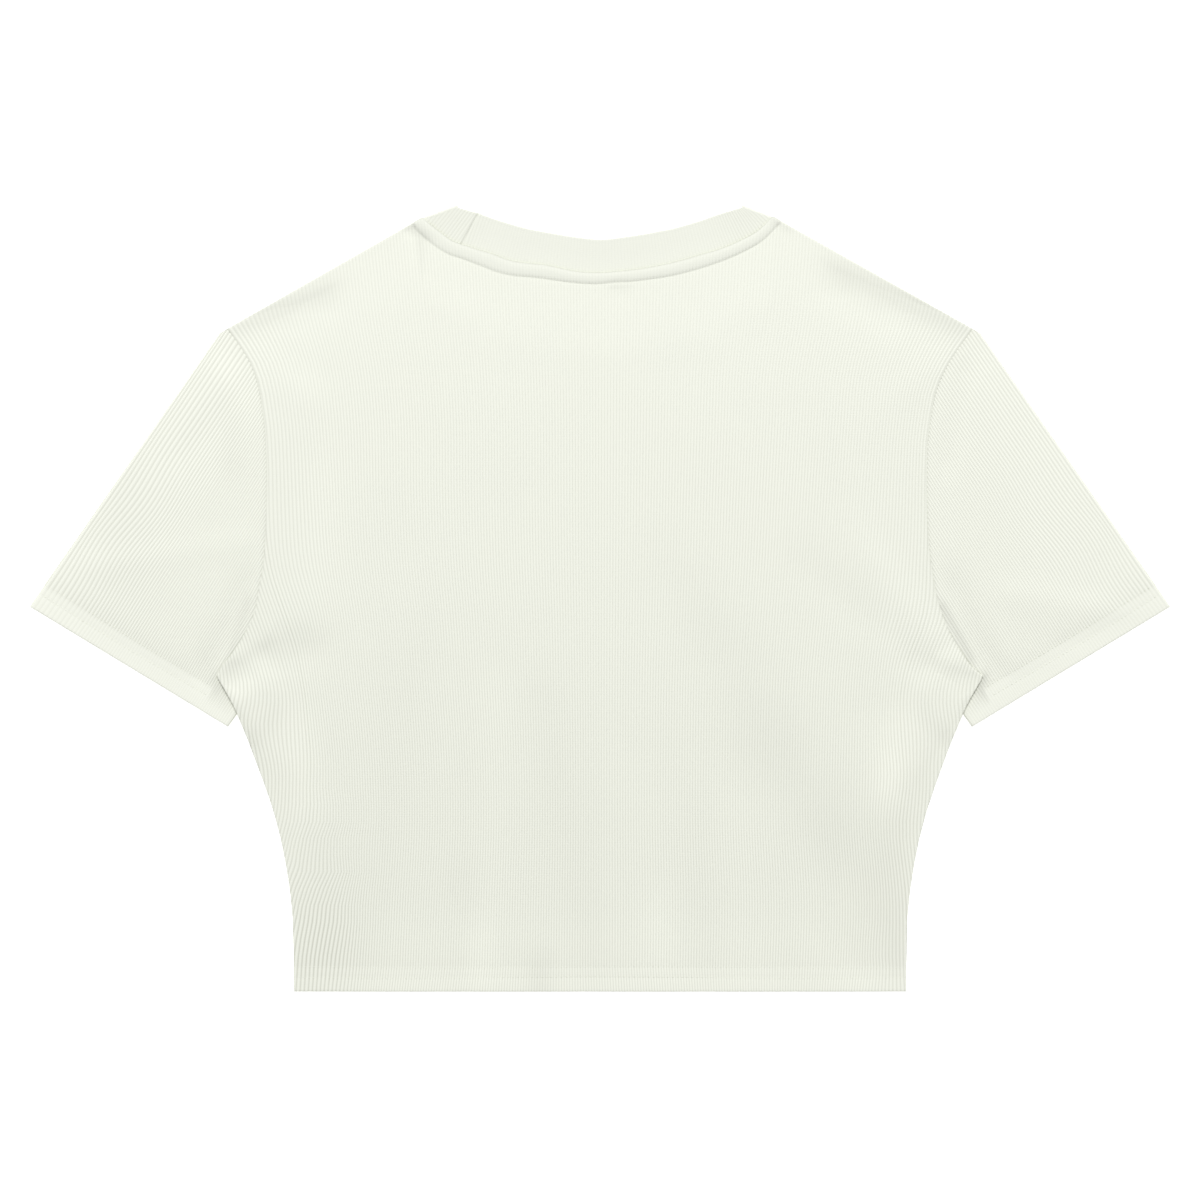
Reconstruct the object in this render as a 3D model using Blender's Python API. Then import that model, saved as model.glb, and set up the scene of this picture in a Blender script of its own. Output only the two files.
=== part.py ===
"""Ribbed crop top with short sleeves, lying flat on its front.

The back panel lies on the front panel, each sleeve is one flattened tube and the neckband is one ring.
Sizes and tables are in millimetres: x to the right, y towards the neck, z up from the surface under the top.
Each half of the outline is the other's mirror image, so the tables give the half where x is positive.
"""

import bmesh
import bpy
import numpy as np

MM = 0.001

# Outline of the garment as it lies.
CHEST_WIDTH = 420.0
HEM_WIDTH = 335.6
OVERALL_LENGTH = 431.0
SIDE_SEAM_HEIGHT = 172.7
ARMHOLE_HEIGHT = 190.3
SHOULDER_WIDTH = 409.0
NECK_WIDTH = 195.2
NECK_HEIGHT = 7.1  # from the neck point of the shoulder up to the top of the neckband
SLEEVE_LENGTH = 182.1
SLEEVE_WIDTH = 127.2
SLEEVE_DROP = 55.15  # degrees from level down to the sleeve's fold
SLEEVE_SLANT = 8.1  # how far the sleeve's hem climbs from its fold to its underarm
SLEEVE_CORNER = (208.6, 144.9)  # where the sleeve's fold meets the shoulder

# The cloth and how it is layered.
WALL = 1.2
BAND_WALL = 1.8
GAP = 0.3
ARMHOLE_GAP = 0.45
RIB_HEIGHT = 0.3
HEM_LINE = 13.9
HEM_STEP = 0.3
SEAM_CREST = 3.5
SEAM_VALLEY = 7.0
SEAM_RIDGE = 1.0
LOFT = 1.3  # how far the slack back panel stands off the front panel
SLEEVE_LOFT = 1.0
FLAP_LIFT = 1.8
FLAP_CENTRE = (200.0, -42.0)
FLAP_REACH = (30.0, 58.0)  # fully lifted within the first distance, flat beyond the second
FLAP_OVERLAP = 1.6  # how far the sleeve reaches under the body beside the armpit
OVERLAP_TOP = 31.0  # height above the armpit where that overlap ends
FRONT_INSET_TOP = 36.0  # height above the armpit where the front panel's edge comes out again
OVERLAP_FADE = 10.0
TUCKED_WIDTH = (22.0, 42.0)  # the sleeve is flat this near its underarm, and full beyond the second distance
TUCKED_HEM = (18.0, 22.0)  # the same for the step of its hem
ROW_HEIGHTS = (-120.0, -40.0, 66.0, 110.0)  # rows of points between the back's hem line and neck seam
ROW_STEP = 3.0  # least distance between two rows
SHORT_COLUMN = 60.0  # columns shorter than this have a narrower hem and seam
RIDGE_FADE = 8.0  # distance over which the ridge of the neck seam runs out at the shoulder
EDGE_SLACK = (34.0, 30.0, 34.0)  # distances over which the loft grows from sides, hem and shoulders
HEM_SLACK = 0.35  # share of the loft that is left at the hem

# The lines that ribs follow on the body.
NARROWEST_Y = 56.0  # height at which the armholes come closest
ARMHOLE_RIBS = 114.0  # ribs from the middle to the armhole there
SHOULDER_RIBS_CUT = 4.0  # of those, the ribs that the upper armhole cuts off
BAND_RIBS = 116
SLEEVE_RIBS = 78
SHARP_ANGLE = 0.3  # radians; two faces that meet at more than this are shaded with an edge
JOIN_FRACTION = -0.8  # place of the neckband's join, from -1 at its left fold to 1 at its right fold

LOWER = 0.0
UPPER = WALL + GAP
TURN_PLACES = np.array([0.2, 0.4, 0.6])  # places round a tube: 0 to 1 over it, then a turn, then under it
LOWER_START = 1.8
ROUND_LENGTH = 3.6
BAND_RADIUS = (UPPER + BAND_WALL) / 2  # outer radius where the neckband turns over
HEM_Y = -OVERALL_LENGTH / 2
ARMPIT = np.array([CHEST_WIDTH / 2, HEM_Y + SIDE_SEAM_HEIGHT])
SHOULDER = np.array([SHOULDER_WIDTH / 2, ARMPIT[1] + ARMHOLE_HEIGHT])
NECK_POINT = np.array([NECK_WIDTH / 2, OVERALL_LENGTH / 2 - NECK_HEIGHT])

# Side seam, armpit to hem: (share of its height, share of the way in to the hem's corner)
SIDE_SEAM = (
    (0.00, 0.00),
    (0.08, 0.19),
    (0.18, 0.37),
    (0.29, 0.54),
    (0.44, 0.75),
    (0.60, 0.90),
    (0.75, 0.98),
    (1.00, 1.00),
)

# Armhole seam, armpit to shoulder: (share of its height, inset from the armpit)
ARMHOLE = (
    (0.000, 0.0),
    (0.025, 3.5),
    (0.067, 9.0),
    (0.120, 15.9),
    (0.183, 21.6),
    (0.251, 24.8),
    (0.320, 26.7),
    (0.409, 28.1),
    (0.519, 28.9),
    (0.640, 28.7),
    (0.719, 27.5),
    (0.800, 25.0),
    (0.861, 21.8),
    (0.919, 16.5),
    (0.961, 11.6),
    (1.000, 5.5),
)

# Where the sleeve's underarm ends under the body's edge: (along the sleeve from its hem, across it)
TUCK = (
    (28.0, 109.7),
    (27.4, 116.2),
    (25.2, 122.8),
    (21.9, 127.2),
)

# Curves of the neckband, from the middle outwards: (x, y)
BACK_SEAM = (
    (0.0, 178.5),
    (21.9, 180.9),
    (38.4, 183.1),
    (54.8, 187.5),
    (65.8, 191.4),
    (79.5, 195.2),
    (87.7, 200.1),
    (97.6, 208.4),
)
BACK_EDGE = (
    (0.0, 196.6),
    (36.7, 202.9),
    (61.4, 209.5),
    (77.9, 215.5),
)
FRONT_SEAM = (
    (0.0, 126.7),
    (43.9, 130.5),
    (63.0, 136.6),
    (81.7, 145.3),
    (91.0, 154.3),
    (97.0, 166.1),
    (99.0, 188.0),
    (97.6, 208.4),
)
FRONT_EDGE = (
    (0.0, 143.6),
    (38.4, 145.8),
    (54.0, 149.8),
    (68.5, 155.2),
    (75.0, 160.5),
    (79.5, 169.0),
    (81.0, 190.0),
    (77.9, 215.5),
)

# Spacing of the body's ribs: (y, spacing)
RIB_SPACING = (
    (-215.5, 1.453),
    (-140.0, 1.460),
    (-42.8, 1.522),
    (56.0, 1.589),
    (147.5, 1.700),
    (208.0, 1.760),
)

# Columns of the back panel's plain underside, in half ribs counted from its edge: (first, last, step)
UNDERSIDE_COLUMNS = (
    (0, 44, 4),
    (48, 56, 1),
    (60, 156, 16),
    (164, 204, 5),
    (210, 254, 22),
)

# Places of the sleeve's ribs: (share of the ribs, share of the sleeve's width from its fold)
SLEEVE_RIB_PLACES = (
    (0.00, 0.00),
    (0.19, 0.26),
    (0.36, 0.43),
    (0.82, 0.82),
    (1.00, 1.00),
)

# Folds of the back panel: (x and y of one end, x and y of the other, half width, height)
BODY_FOLDS = (
    (-102, -43, -128, -190, 18, -0.9),
    (-153, -149, -145, -211, 12, -0.5),
    (-77, -160, -77, -211, 10, -0.8),
    (-56, -65, -60, -195, 12, 0.8),
    (-31, -65, -6, -209, 12, -0.9),
    (20, -110, 30, -200, 14, 0.6),
    (52, -130, 58, -205, 8, -0.5),
    (75, -120, 80, -205, 12, 0.6),
    (49, 28, 90, -40, 16, -1.0),
    (90, -40, 124, -106, 16, -1.2),
    (124, -106, 162, -190, 16, -1.2),
    (116, 15, 174, -31, 8, -0.6),
    (145, 28, 181, -18, 8, 0.6),
    (198, -50, 165, -95, 8, 0.8),
    (190, -68, 172, -120, 6, -0.6),
    (-203, -33, -161, -14, 7, -0.7),
    (-203, -43, -174, -85, 7, 0.9),
    (-186, 148, -149, 160, 6, -0.4),
    (133, 168, 191, 145, 6, -0.4),
)

# Folds of the sleeves: (side, along and across at one end, the same at the other, half width, height)
SLEEVE_FOLDS = (
    (-1, 40, 15, 80, 60, 9, 0.6),
    (-1, 30, 25, 70, 75, 8, -0.5),
    (-1, 100, 45, 150, 75, 9, -0.5),
    (1, 120, 40, 150, 85, 9, -0.5),
    (1, 10, 30, 75, 80, 9, 0.6),
)


def curve(rows, at):
    """Height at each place on a smooth curve through rows of (place, height)."""
    place, height = np.array(rows, float).T
    slope = np.gradient(height, place)
    i = np.clip(np.searchsorted(place, at) - 1, 0, len(place) - 2)
    step = place[i + 1] - place[i]
    t = np.clip((at - place[i]) / step, 0.0, 1.0)
    start = (1 + 2 * t) * (1 - t) ** 2 * height[i] + t * (1 - t) ** 2 * step * slope[i]
    end = t**2 * (3 - 2 * t) * height[i + 1] + t**2 * (t - 1) * step * slope[i + 1]
    return start + end


def ease(value):
    """Smooth step from 0 to 1."""
    t = np.clip(value, 0.0, 1.0)
    return t * t * (3 - 2 * t)


def path(rows, shares):
    """Points at shares of the length of a smooth path through rows of (x, y)."""
    points = np.array(rows, float)
    steps = np.hypot(*np.diff(points, axis=0).T)
    length = np.concatenate([[0.0], np.cumsum(steps)])
    at = np.asarray(shares) * length[-1]
    x = curve(np.column_stack([length, points[:, 0]]), at)
    y = curve(np.column_stack([length, points[:, 1]]), at)
    return np.column_stack([x, y])


def moved_left(points, distance):
    """A line of points moved to its left-hand side."""
    ahead = np.gradient(points, axis=0)
    ahead /= np.hypot(*ahead.T)[:, None]
    return points + distance * np.column_stack([-ahead[:, 1], ahead[:, 0]])


def across_body(half_rows):
    """The whole curve, left to right, of half a curve given from the middle outwards."""
    half = np.array(half_rows, float)
    mirrored = half[:0:-1] * (-1, 1)
    return np.concatenate([mirrored, half])


def short_of_fold(half_rows):
    """Half a curve of the neckband, stopped where the band starts to turn over at the fold."""
    fold = np.array(BACK_SEAM[-1]) - np.array(BACK_EDGE[-1])
    outward = np.array([-fold[1], fold[0]]) / np.hypot(*fold)
    half = np.array(half_rows, float)
    half[-1] -= outward * BAND_RADIUS
    return half, outward


def side_x(y):
    share = (ARMPIT[1] - y) / SIDE_SEAM_HEIGHT
    return ARMPIT[0] - (ARMPIT[0] - HEM_WIDTH / 2) * curve(SIDE_SEAM, share)


def armhole_x(y):
    share = (y - ARMPIT[1]) / ARMHOLE_HEIGHT
    return ARMPIT[0] - curve(ARMHOLE, share)


def rib_x(rib, y):
    """Where a rib, counted from the middle, passes a height. Near the upper armhole the ribs run along it."""
    spacing = curve(RIB_SPACING, y)
    rise = np.clip((y - NARROWEST_Y) / (SHOULDER[1] - NARROWEST_Y), 0.0, 1.0)
    edge_rib = ARMHOLE_RIBS - SHOULDER_RIBS_CUT * rise
    spread = np.where(rise > 0, armhole_x(y) - edge_rib * spacing, 0.0)
    return rib * spacing + np.sign(rib) * spread * np.abs(rib / edge_rib) ** 4


def rib_at(x, y):
    """The rib that passes a point of the right half, found by halving an interval."""
    low = np.zeros_like(x)
    high = np.full_like(x, 2 * ARMHOLE_RIBS)
    for _ in range(40):
        middle = (low + high) / 2
        beyond = rib_x(middle, y) > x
        high = np.where(beyond, middle, high)
        low = np.where(beyond, low, middle)
    return (low + high) / 2


def right_outline():
    """Lower and upper outline of the back panel's right half, each from the armpit to the middle."""
    down = np.linspace(ARMPIT[1], HEM_Y, 120)
    lower = np.column_stack([side_x(down), down])
    lower = np.concatenate([lower, [[0.0, HEM_Y]]])
    up = np.linspace(ARMPIT[1], SHOULDER[1], 160)
    armhole = np.column_stack([armhole_x(up), up])
    half, _ = short_of_fold(BACK_SEAM)
    neckline = path(across_body(half), np.linspace(1.0, 0.5, 120))
    neckline = moved_left(neckline, GAP + 0.1)
    neckline[-1, 0] = 0.0
    shoulder = np.linspace(armhole[-1], neckline[0], 60)[1:-1]
    return lower, np.concatenate([armhole, shoulder, neckline])


def rib_heights(outline, ribs):
    """Height at which each rib meets an outline."""
    met = rib_at(outline[:, 0], outline[:, 1])
    return np.interp(np.abs(ribs), met[::-1], outline[::-1, 1])


def slackness(x, y, upper):
    """Share of the loft that the back panel has at a point: none at its seams, all of it well inside."""
    side_reach, hem_reach, top_reach = EDGE_SLACK
    edge = np.where(y < ARMPIT[1], side_x(y), armhole_x(y))
    edge = np.where(y > SHOULDER[1], 2 * SHOULDER_WIDTH, edge)
    over = upper[upper[:, 1] >= SHOULDER[1]]
    top = np.interp(np.abs(x), over[::-1, 0], over[::-1, 1])
    from_side = ease((edge - np.abs(x)) / side_reach)
    from_hem = HEM_SLACK + (1 - HEM_SLACK) * ease((y - HEM_Y) / hem_reach)
    return from_side * from_hem * ease((top - y) / top_reach)


def fold_height(x, y, folds):
    """Sum of soft ridges and troughs, each along a line and fading past its ends."""
    total = np.zeros_like(x)
    for x0, y0, x1, y1, half_width, height in folds:
        along = np.array([x1 - x0, y1 - y0], float)
        length = np.hypot(*along)
        along /= length
        reach = (x - x0) * along[0] + (y - y0) * along[1]
        aside = (y - y0) * along[0] - (x - x0) * along[1]
        beyond = np.maximum(np.maximum(-reach, reach - length), 0.0)
        total += height * np.exp(-((aside / half_width) ** 2) - (beyond / (2 * half_width)) ** 2)
    return total


def flap_lift(x, y):
    """Rise of the back panel's armpits, which lie over the sleeves."""
    distance = np.hypot(np.abs(x) - FLAP_CENTRE[0], y - FLAP_CENTRE[1])
    near, far = FLAP_REACH
    return FLAP_LIFT * ease((far - distance) / (far - near))


def numbered(start, points):
    """Index of each point of a grid, counted on from start."""
    rows, columns = points.shape[:2]
    return start + np.arange(rows * columns).reshape(rows, columns)


def grid_faces(index):
    """A four-sided face between each pair of rows and columns."""
    corners = (index[:-1, :-1], index[:-1, 1:], index[1:, 1:], index[1:, :-1])
    return np.stack(corners, axis=-1).reshape(-1, 4).tolist()


def strip_faces(fine, fine_at, coarse, coarse_at):
    """Triangles between two edges whose points lie at the given places along them."""
    faces = []
    i = j = 0
    while i < len(fine) - 1 or j < len(coarse) - 1:
        fine_next = i < len(fine) - 1 and (j == len(coarse) - 1 or fine_at[i + 1] <= coarse_at[j + 1])
        if fine_next:
            faces.append([fine[i], fine[i + 1], coarse[j]])
            i += 1
        else:
            faces.append([fine[i], coarse[j + 1], coarse[j]])
            j += 1
    return faces


def wall_mesh(name, outer, outer_at, inner, inner_at, ring):
    """Closed cloth wall between a fine outer grid and a plain inner one, as a panel or as a ring."""
    points = np.concatenate([outer.reshape(-1, 3), inner.reshape(-1, 3)])
    outer_index = numbered(0, outer)
    inner_index = numbered(outer_index.size, inner)
    if ring:
        outer_index = np.column_stack([outer_index, outer_index[:, 0]])
        inner_index = np.column_stack([inner_index, inner_index[:, 0]])
        outer_at = np.append(outer_at, outer_at[0] + ring)
        inner_at = np.append(inner_at, inner_at[0] + ring)
    faces = grid_faces(outer_index) + grid_faces(inner_index)
    for row in (0, -1):
        faces += strip_faces(outer_index[row], outer_at, inner_index[row], inner_at)
    if not ring:
        outer_rows = np.linspace(0.0, 1.0, len(outer))
        inner_rows = np.linspace(0.0, 1.0, len(inner))
        for column in (0, -1):
            faces += strip_faces(outer_index[:, column], outer_rows, inner_index[:, column], inner_rows)
    mesh = bpy.data.meshes.new(name)
    mesh.from_pydata((points * MM).tolist(), [], faces)
    work = bmesh.new()
    work.from_mesh(mesh)
    bmesh.ops.recalc_face_normals(work, faces=work.faces)
    work.to_mesh(mesh)
    work.free()
    mesh.shade_smooth()
    mesh.set_sharp_from_angle(angle=SHARP_ANGLE)
    return mesh


def back_panel():
    """Back panel: a column of points on each rib's crest and in each valley, over a plain underside."""
    lower, upper = right_outline()
    last = rib_at(ARMPIT[:1], ARMPIT[1:])[0]
    half = np.append(np.arange(0.5, last - 0.5, 0.5), last - 0.25)
    ribs = np.concatenate([-half[::-1], [0.0], half])
    bottom = rib_heights(lower, ribs)
    top = rib_heights(upper, ribs)
    length = top - bottom
    squeeze = np.minimum(1.0, length / SHORT_COLUMN)
    slope = np.clip(np.abs(np.gradient(top, rib_x(ribs, top))), 0.0, 1.0)
    stretch = squeeze * np.hypot(1.0, slope)
    first = bottom + HEM_LINE * squeeze
    valley = top - SEAM_VALLEY * stretch
    crest = top - SEAM_CREST * stretch
    least = ROW_STEP * squeeze
    middle = []
    for i, height in enumerate(ROW_HEIGHTS):
        lowest = first + (i + 1) * least
        highest = valley - (len(ROW_HEIGHTS) - i) * least
        middle.append(np.clip(height, lowest, highest))
    y = np.array([bottom, first, *middle, valley, crest, top])
    x = rib_x(ribs, y)

    slack = slackness(x, y, upper)
    lift = slack * np.maximum(LOFT + fold_height(x, y, BODY_FOLDS), 0.0)
    under = UPPER + lift + flap_lift(x, y)

    at_neck = ease((NECK_POINT[0] - np.abs(x)) / RIDGE_FADE)
    at_hem = (np.abs(x[0]) < HEM_WIDTH / 2 - 1.0).astype(float)
    relief = np.zeros_like(x)
    relief[0] = HEM_STEP * at_hem
    relief[1] = -0.5 * HEM_STEP * at_hem
    relief[-3] = -HEM_STEP * at_neck[-3]
    relief[-2] = SEAM_RIDGE * at_neck[-2]
    relief[-1] = 0.2 * SEAM_RIDGE * at_neck[-1]
    raised = RIB_HEIGHT * (np.round(ribs) == ribs)
    over = under + WALL + relief + raised

    centre = len(half)
    spans = [np.arange(start, end + 1, step) for start, end, step in UNDERSIDE_COLUMNS]
    left = np.concatenate([*spans, [centre]])
    plain = np.concatenate([left, 2 * centre - left[-2::-1]])
    outer = np.stack([x, y, over], axis=-1)
    inner = np.stack([x, y, under], axis=-1)[:, plain]
    return wall_mesh("back", outer, np.arange(len(ribs)), inner, plain, 0)


def sleeve_point(along, across, z, side):
    """World place of a point given along the sleeve from its hem and across it from its fold."""
    drop = np.radians(SLEEVE_DROP)
    out = (SLEEVE_LENGTH - along) * np.cos(drop) - across * np.sin(drop)
    down = (SLEEVE_LENGTH - along) * np.sin(drop) + across * np.cos(drop)
    x = side * (SLEEVE_CORNER[0] + out)
    y = SLEEVE_CORNER[1] - down
    return np.stack(np.broadcast_arrays(x, y, z), axis=-1)


def sleeve_end():
    """Where the sleeve stops against the body, as along and across it: the armhole seam, then the tuck."""
    drop = np.radians(SLEEVE_DROP)
    y = np.linspace(SHOULDER[1], ARMPIT[1], 120)
    out = armhole_x(y) - SLEEVE_CORNER[0]
    down = SLEEVE_CORNER[1] - y
    along = SLEEVE_LENGTH - out * np.cos(drop) - down * np.sin(drop)
    across = down * np.cos(drop) - out * np.sin(drop)
    tuck = np.array(TUCK)
    across += FLAP_OVERLAP * ease((ARMPIT[1] + OVERLAP_TOP - y) / OVERLAP_FADE)
    along = np.concatenate([[SLEEVE_LENGTH], along, tuck[:, 0]]) - ARMHOLE_GAP
    across = np.concatenate([[0.0], across, tuck[:, 1]]) - ARMHOLE_GAP
    never_back = np.maximum.accumulate(across + 1e-6 * np.arange(len(across)))
    return along, never_back


def sleeve_rows(across):
    """Distances along the sleeve, one row for each: hem, hem line and on to the armhole."""
    end_along, end_across = sleeve_end()
    start = SLEEVE_SLANT * across / SLEEVE_WIDTH
    end = np.interp(across, end_across, end_along)
    line = start + np.minimum(HEM_LINE, 0.5 * (end - start))
    shares = np.array([0.0, 0.33, 0.67, 1.0])[:, None]
    rows = line + (end - line) * shares
    return np.concatenate([start[None], rows])


def sleeve(name, side):
    """Sleeve: a flattened tube with ribs on its upper layer, lying on its lower one."""
    round_in = WALL + GAP / 2
    total = 2 * WALL + GAP
    half_ribs = np.arange(2 * SLEEVE_RIBS + 1)
    places = curve(SLEEVE_RIB_PLACES, half_ribs / half_ribs[-1])
    fine = round_in + (SLEEVE_WIDTH - 2 * round_in) * places
    coarse = np.linspace(round_in, SLEEVE_WIDTH - round_in, 15)
    folds = [row[1:] for row in SLEEVE_FOLDS if row[0] == side]

    def lift_at(along, across):
        rows = along[-1] - along[0]
        share = (along - along[0]) / rows
        slack = (1 - (2 * across / SLEEVE_WIDTH - 1) ** 6) * (1 - (2 * share - 1) ** 6)
        bulge = fold_height(along, np.broadcast_to(across, along.shape), folds)
        tucked = np.interp(SLEEVE_WIDTH - across, TUCKED_WIDTH, (0.0, 1.0))
        return np.maximum(SLEEVE_LOFT + bulge, 0.0) * slack * tucked

    def layer(across, base, lifted):
        along = sleeve_rows(across)
        z = base + (lift_at(along, across) if lifted else 0.0)
        return sleeve_point(along, across, z, side)

    def bend(across, z):
        return sleeve_point(sleeve_rows(np.array([across])), across, z, side)

    top = layer(fine, total, True)
    top[:, :, 2] += np.where(half_ribs % 2 == 1, RIB_HEIGHT, 0.0)
    top[0, :, 2] += HEM_STEP * np.interp(SLEEVE_WIDTH - fine, TUCKED_HEM, (0.0, 1.0))
    under = layer(coarse[::-1], LOWER, False)
    near, far = 0.3 * round_in, SLEEVE_WIDTH - 0.3 * round_in
    outer = np.concatenate(
        [
            top,
            bend(far, 0.85 * total),
            bend(SLEEVE_WIDTH, 0.5 * total),
            bend(far, 0.15 * total),
            under,
            bend(near, 0.15 * total),
            bend(0.0, 0.5 * total),
            bend(near, 0.85 * total),
        ],
        axis=1,
    )
    inner = np.concatenate([layer(coarse, UPPER, True), layer(coarse[::-1], WALL, False)], axis=1)

    upper_at = np.interp(fine, coarse, np.linspace(0.0, 1.0, len(coarse)))
    coarse_at = np.linspace(0.0, 1.0, len(coarse))
    turn_at = 1.0 + TURN_PLACES
    outer_at = np.concatenate([upper_at, turn_at, LOWER_START + coarse_at, LOWER_START + turn_at])
    inner_at = np.concatenate([coarse_at, LOWER_START + coarse_at])
    return wall_mesh(name, outer, outer_at, inner, inner_at, ROUND_LENGTH)


def band_plan(seam_rows, edge_rows, shares, width_share):
    """Points of half the neckband at shares of its length, left to right, and a share of its width."""
    seam, _ = short_of_fold(seam_rows)
    edge, _ = short_of_fold(edge_rows)
    seam = path(across_body(seam), shares)
    edge = path(across_body(edge), shares)
    return seam + (edge - seam) * width_share


def neckband():
    """Neckband: a ring whose back half lies on its front half's level and turns over at both folds."""
    inner_radius = GAP / 2
    inner_middle = WALL + inner_radius
    half_ribs = np.arange(2 * BAND_RIBS + 1)
    fine = half_ribs / half_ribs[-1]
    coarse = np.linspace(0.0, 1.0, 25)

    def back_half(shares, width_share, thick):
        plan = band_plan(BACK_SEAM, BACK_EDGE, shares, width_share)
        middle = 1 - np.abs(2 * shares - 1)
        sag = (0.6 + 0.6 * width_share) * ease(middle / 0.7 - 0.35)
        return np.column_stack([plan, UPPER + thick - sag])

    def front_half(width_share, z):
        plan = band_plan(FRONT_SEAM, FRONT_EDGE, coarse[::-1], width_share)
        return np.column_stack([plan, np.full(len(plan), z)])

    def turn(side, turned, width_share, radius, middle_z):
        plan = band_plan(BACK_SEAM, BACK_EDGE, np.array([1.0]), width_share)
        _, outward = short_of_fold(BACK_SEAM)
        angle = np.radians(turned)[:, None]
        plan = plan + outward * radius * np.sin(angle)
        return np.column_stack([plan * (side, 1), middle_z + radius * np.cos(angle)])

    def ring(shares, width_share, thick, radius, middle_z, low_z):
        over = np.array([45.0, 90.0, 135.0])
        return np.concatenate(
            [
                back_half(shares, width_share, thick),
                turn(1, over, width_share, radius, middle_z),
                front_half(width_share, low_z),
                turn(-1, over[::-1], width_share, radius, middle_z),
            ]
        )

    outer = np.array(
        [
            ring(fine, 0.0, BAND_WALL, BAND_RADIUS, BAND_RADIUS, LOWER),
            ring(fine, 0.9, BAND_WALL, BAND_RADIUS, BAND_RADIUS, LOWER),
            ring(fine, 1.0, 0.7 * BAND_WALL, 0.8 * BAND_RADIUS, BAND_RADIUS, 0.3 * WALL),
        ]
    )
    inner = np.array(
        [
            ring(coarse, 0.0, 0.0, inner_radius, inner_middle, WALL),
            ring(coarse, 1.0, 0.0, inner_radius, inner_middle, WALL),
        ]
    )
    join = int(round((JOIN_FRACTION + 1) / 2 * half_ribs[-1]))
    raised = np.where(half_ribs % 2 == 1, RIB_HEIGHT, 0.0)
    raised[join - 1 : join + 2] = (0.0, -2 * RIB_HEIGHT, 0.0)
    outer[:2, : len(fine), 2] += raised

    turn_at = 1.0 + TURN_PLACES
    beneath = np.concatenate([LOWER_START + coarse, LOWER_START + turn_at])
    outer_at = np.concatenate([fine, turn_at, beneath])
    inner_at = np.concatenate([coarse, turn_at, beneath])
    return wall_mesh("neckband", outer, outer_at, inner, inner_at, ROUND_LENGTH)


def front_outline():
    """Right half of the front panel, from the hem's corner round to the middle of the neck."""
    up_side = np.linspace(HEM_Y, ARMPIT[1] - 0.18 * SIDE_SEAM_HEIGHT, 14)
    side = np.column_stack([side_x(up_side), up_side])
    tuck = np.array(TUCK[::-1]) + (1.0, 0.0)
    hidden = sleeve_point(tuck[:, 0], tuck[:, 1], 0.0, 1)[:, :2]
    up_armhole = ARMPIT[1] + np.array([row[0] for row in ARMHOLE[1:]]) * ARMHOLE_HEIGHT
    inset = 1.0 + (1.0 + FLAP_OVERLAP) * ease((ARMPIT[1] + FRONT_INSET_TOP - up_armhole) / OVERLAP_FADE)
    armhole = np.column_stack([armhole_x(up_armhole) - inset, up_armhole])
    seam, _ = short_of_fold(FRONT_SEAM)
    neck = path(seam[::-1], np.linspace(0.0, 1.0, 24))
    neck = moved_left(neck, 2 * GAP)
    neck[-1, 0] = 0.0
    return np.concatenate([side, hidden, armhole, neck])


def front_panel():
    """Front panel: a flat plate with the garment's outline and a deeper neckline."""
    right = front_outline()
    left = right[-2::-1] * (-1, 1)
    outline = np.concatenate([right, left])
    flat = bpy.data.curves.new("front", "CURVE")
    flat.dimensions = "2D"
    flat.fill_mode = "BOTH"
    flat.extrude = WALL / 2 * MM
    spline = flat.splines.new("POLY")
    spline.points.add(len(outline) - 1)
    for point, (x, y) in zip(spline.points, outline):
        point.co = (x * MM, y * MM, 0.0, 1.0)
    spline.use_cyclic_u = True
    return flat


def cloth(name, colour):
    """Matt ivory rib knit."""
    material = bpy.data.materials.new(name)
    material.use_nodes = True
    shader = material.node_tree.nodes["Principled BSDF"]
    shader.inputs["Base Color"].default_value = (*colour, 1.0)
    shader.inputs["Roughness"].default_value = 0.9
    shader.inputs["Metallic"].default_value = 0.0
    return material


def place(collection, name, data, colour, height=0.0):
    piece = bpy.data.objects.new(name, data)
    piece.location.z = height * MM
    data.materials.append(cloth(name + "_rib", colour))
    collection.objects.link(piece)


def build():
    for old in list(bpy.data.objects):
        bpy.data.objects.remove(old)
    collection = bpy.data.collections.new("crop_top")
    bpy.context.scene.collection.children.link(collection)
    place(collection, "front", front_panel(), (0.84, 0.86, 0.76), LOWER + WALL / 2)
    place(collection, "sleeve_left", sleeve("sleeve_left", -1), (0.86, 0.88, 0.78))
    place(collection, "sleeve_right", sleeve("sleeve_right", 1), (0.86, 0.88, 0.78))
    place(collection, "neckband", neckband(), (0.87, 0.89, 0.79))
    place(collection, "back", back_panel(), (0.88, 0.90, 0.80))


build()
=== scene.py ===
import math

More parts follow.
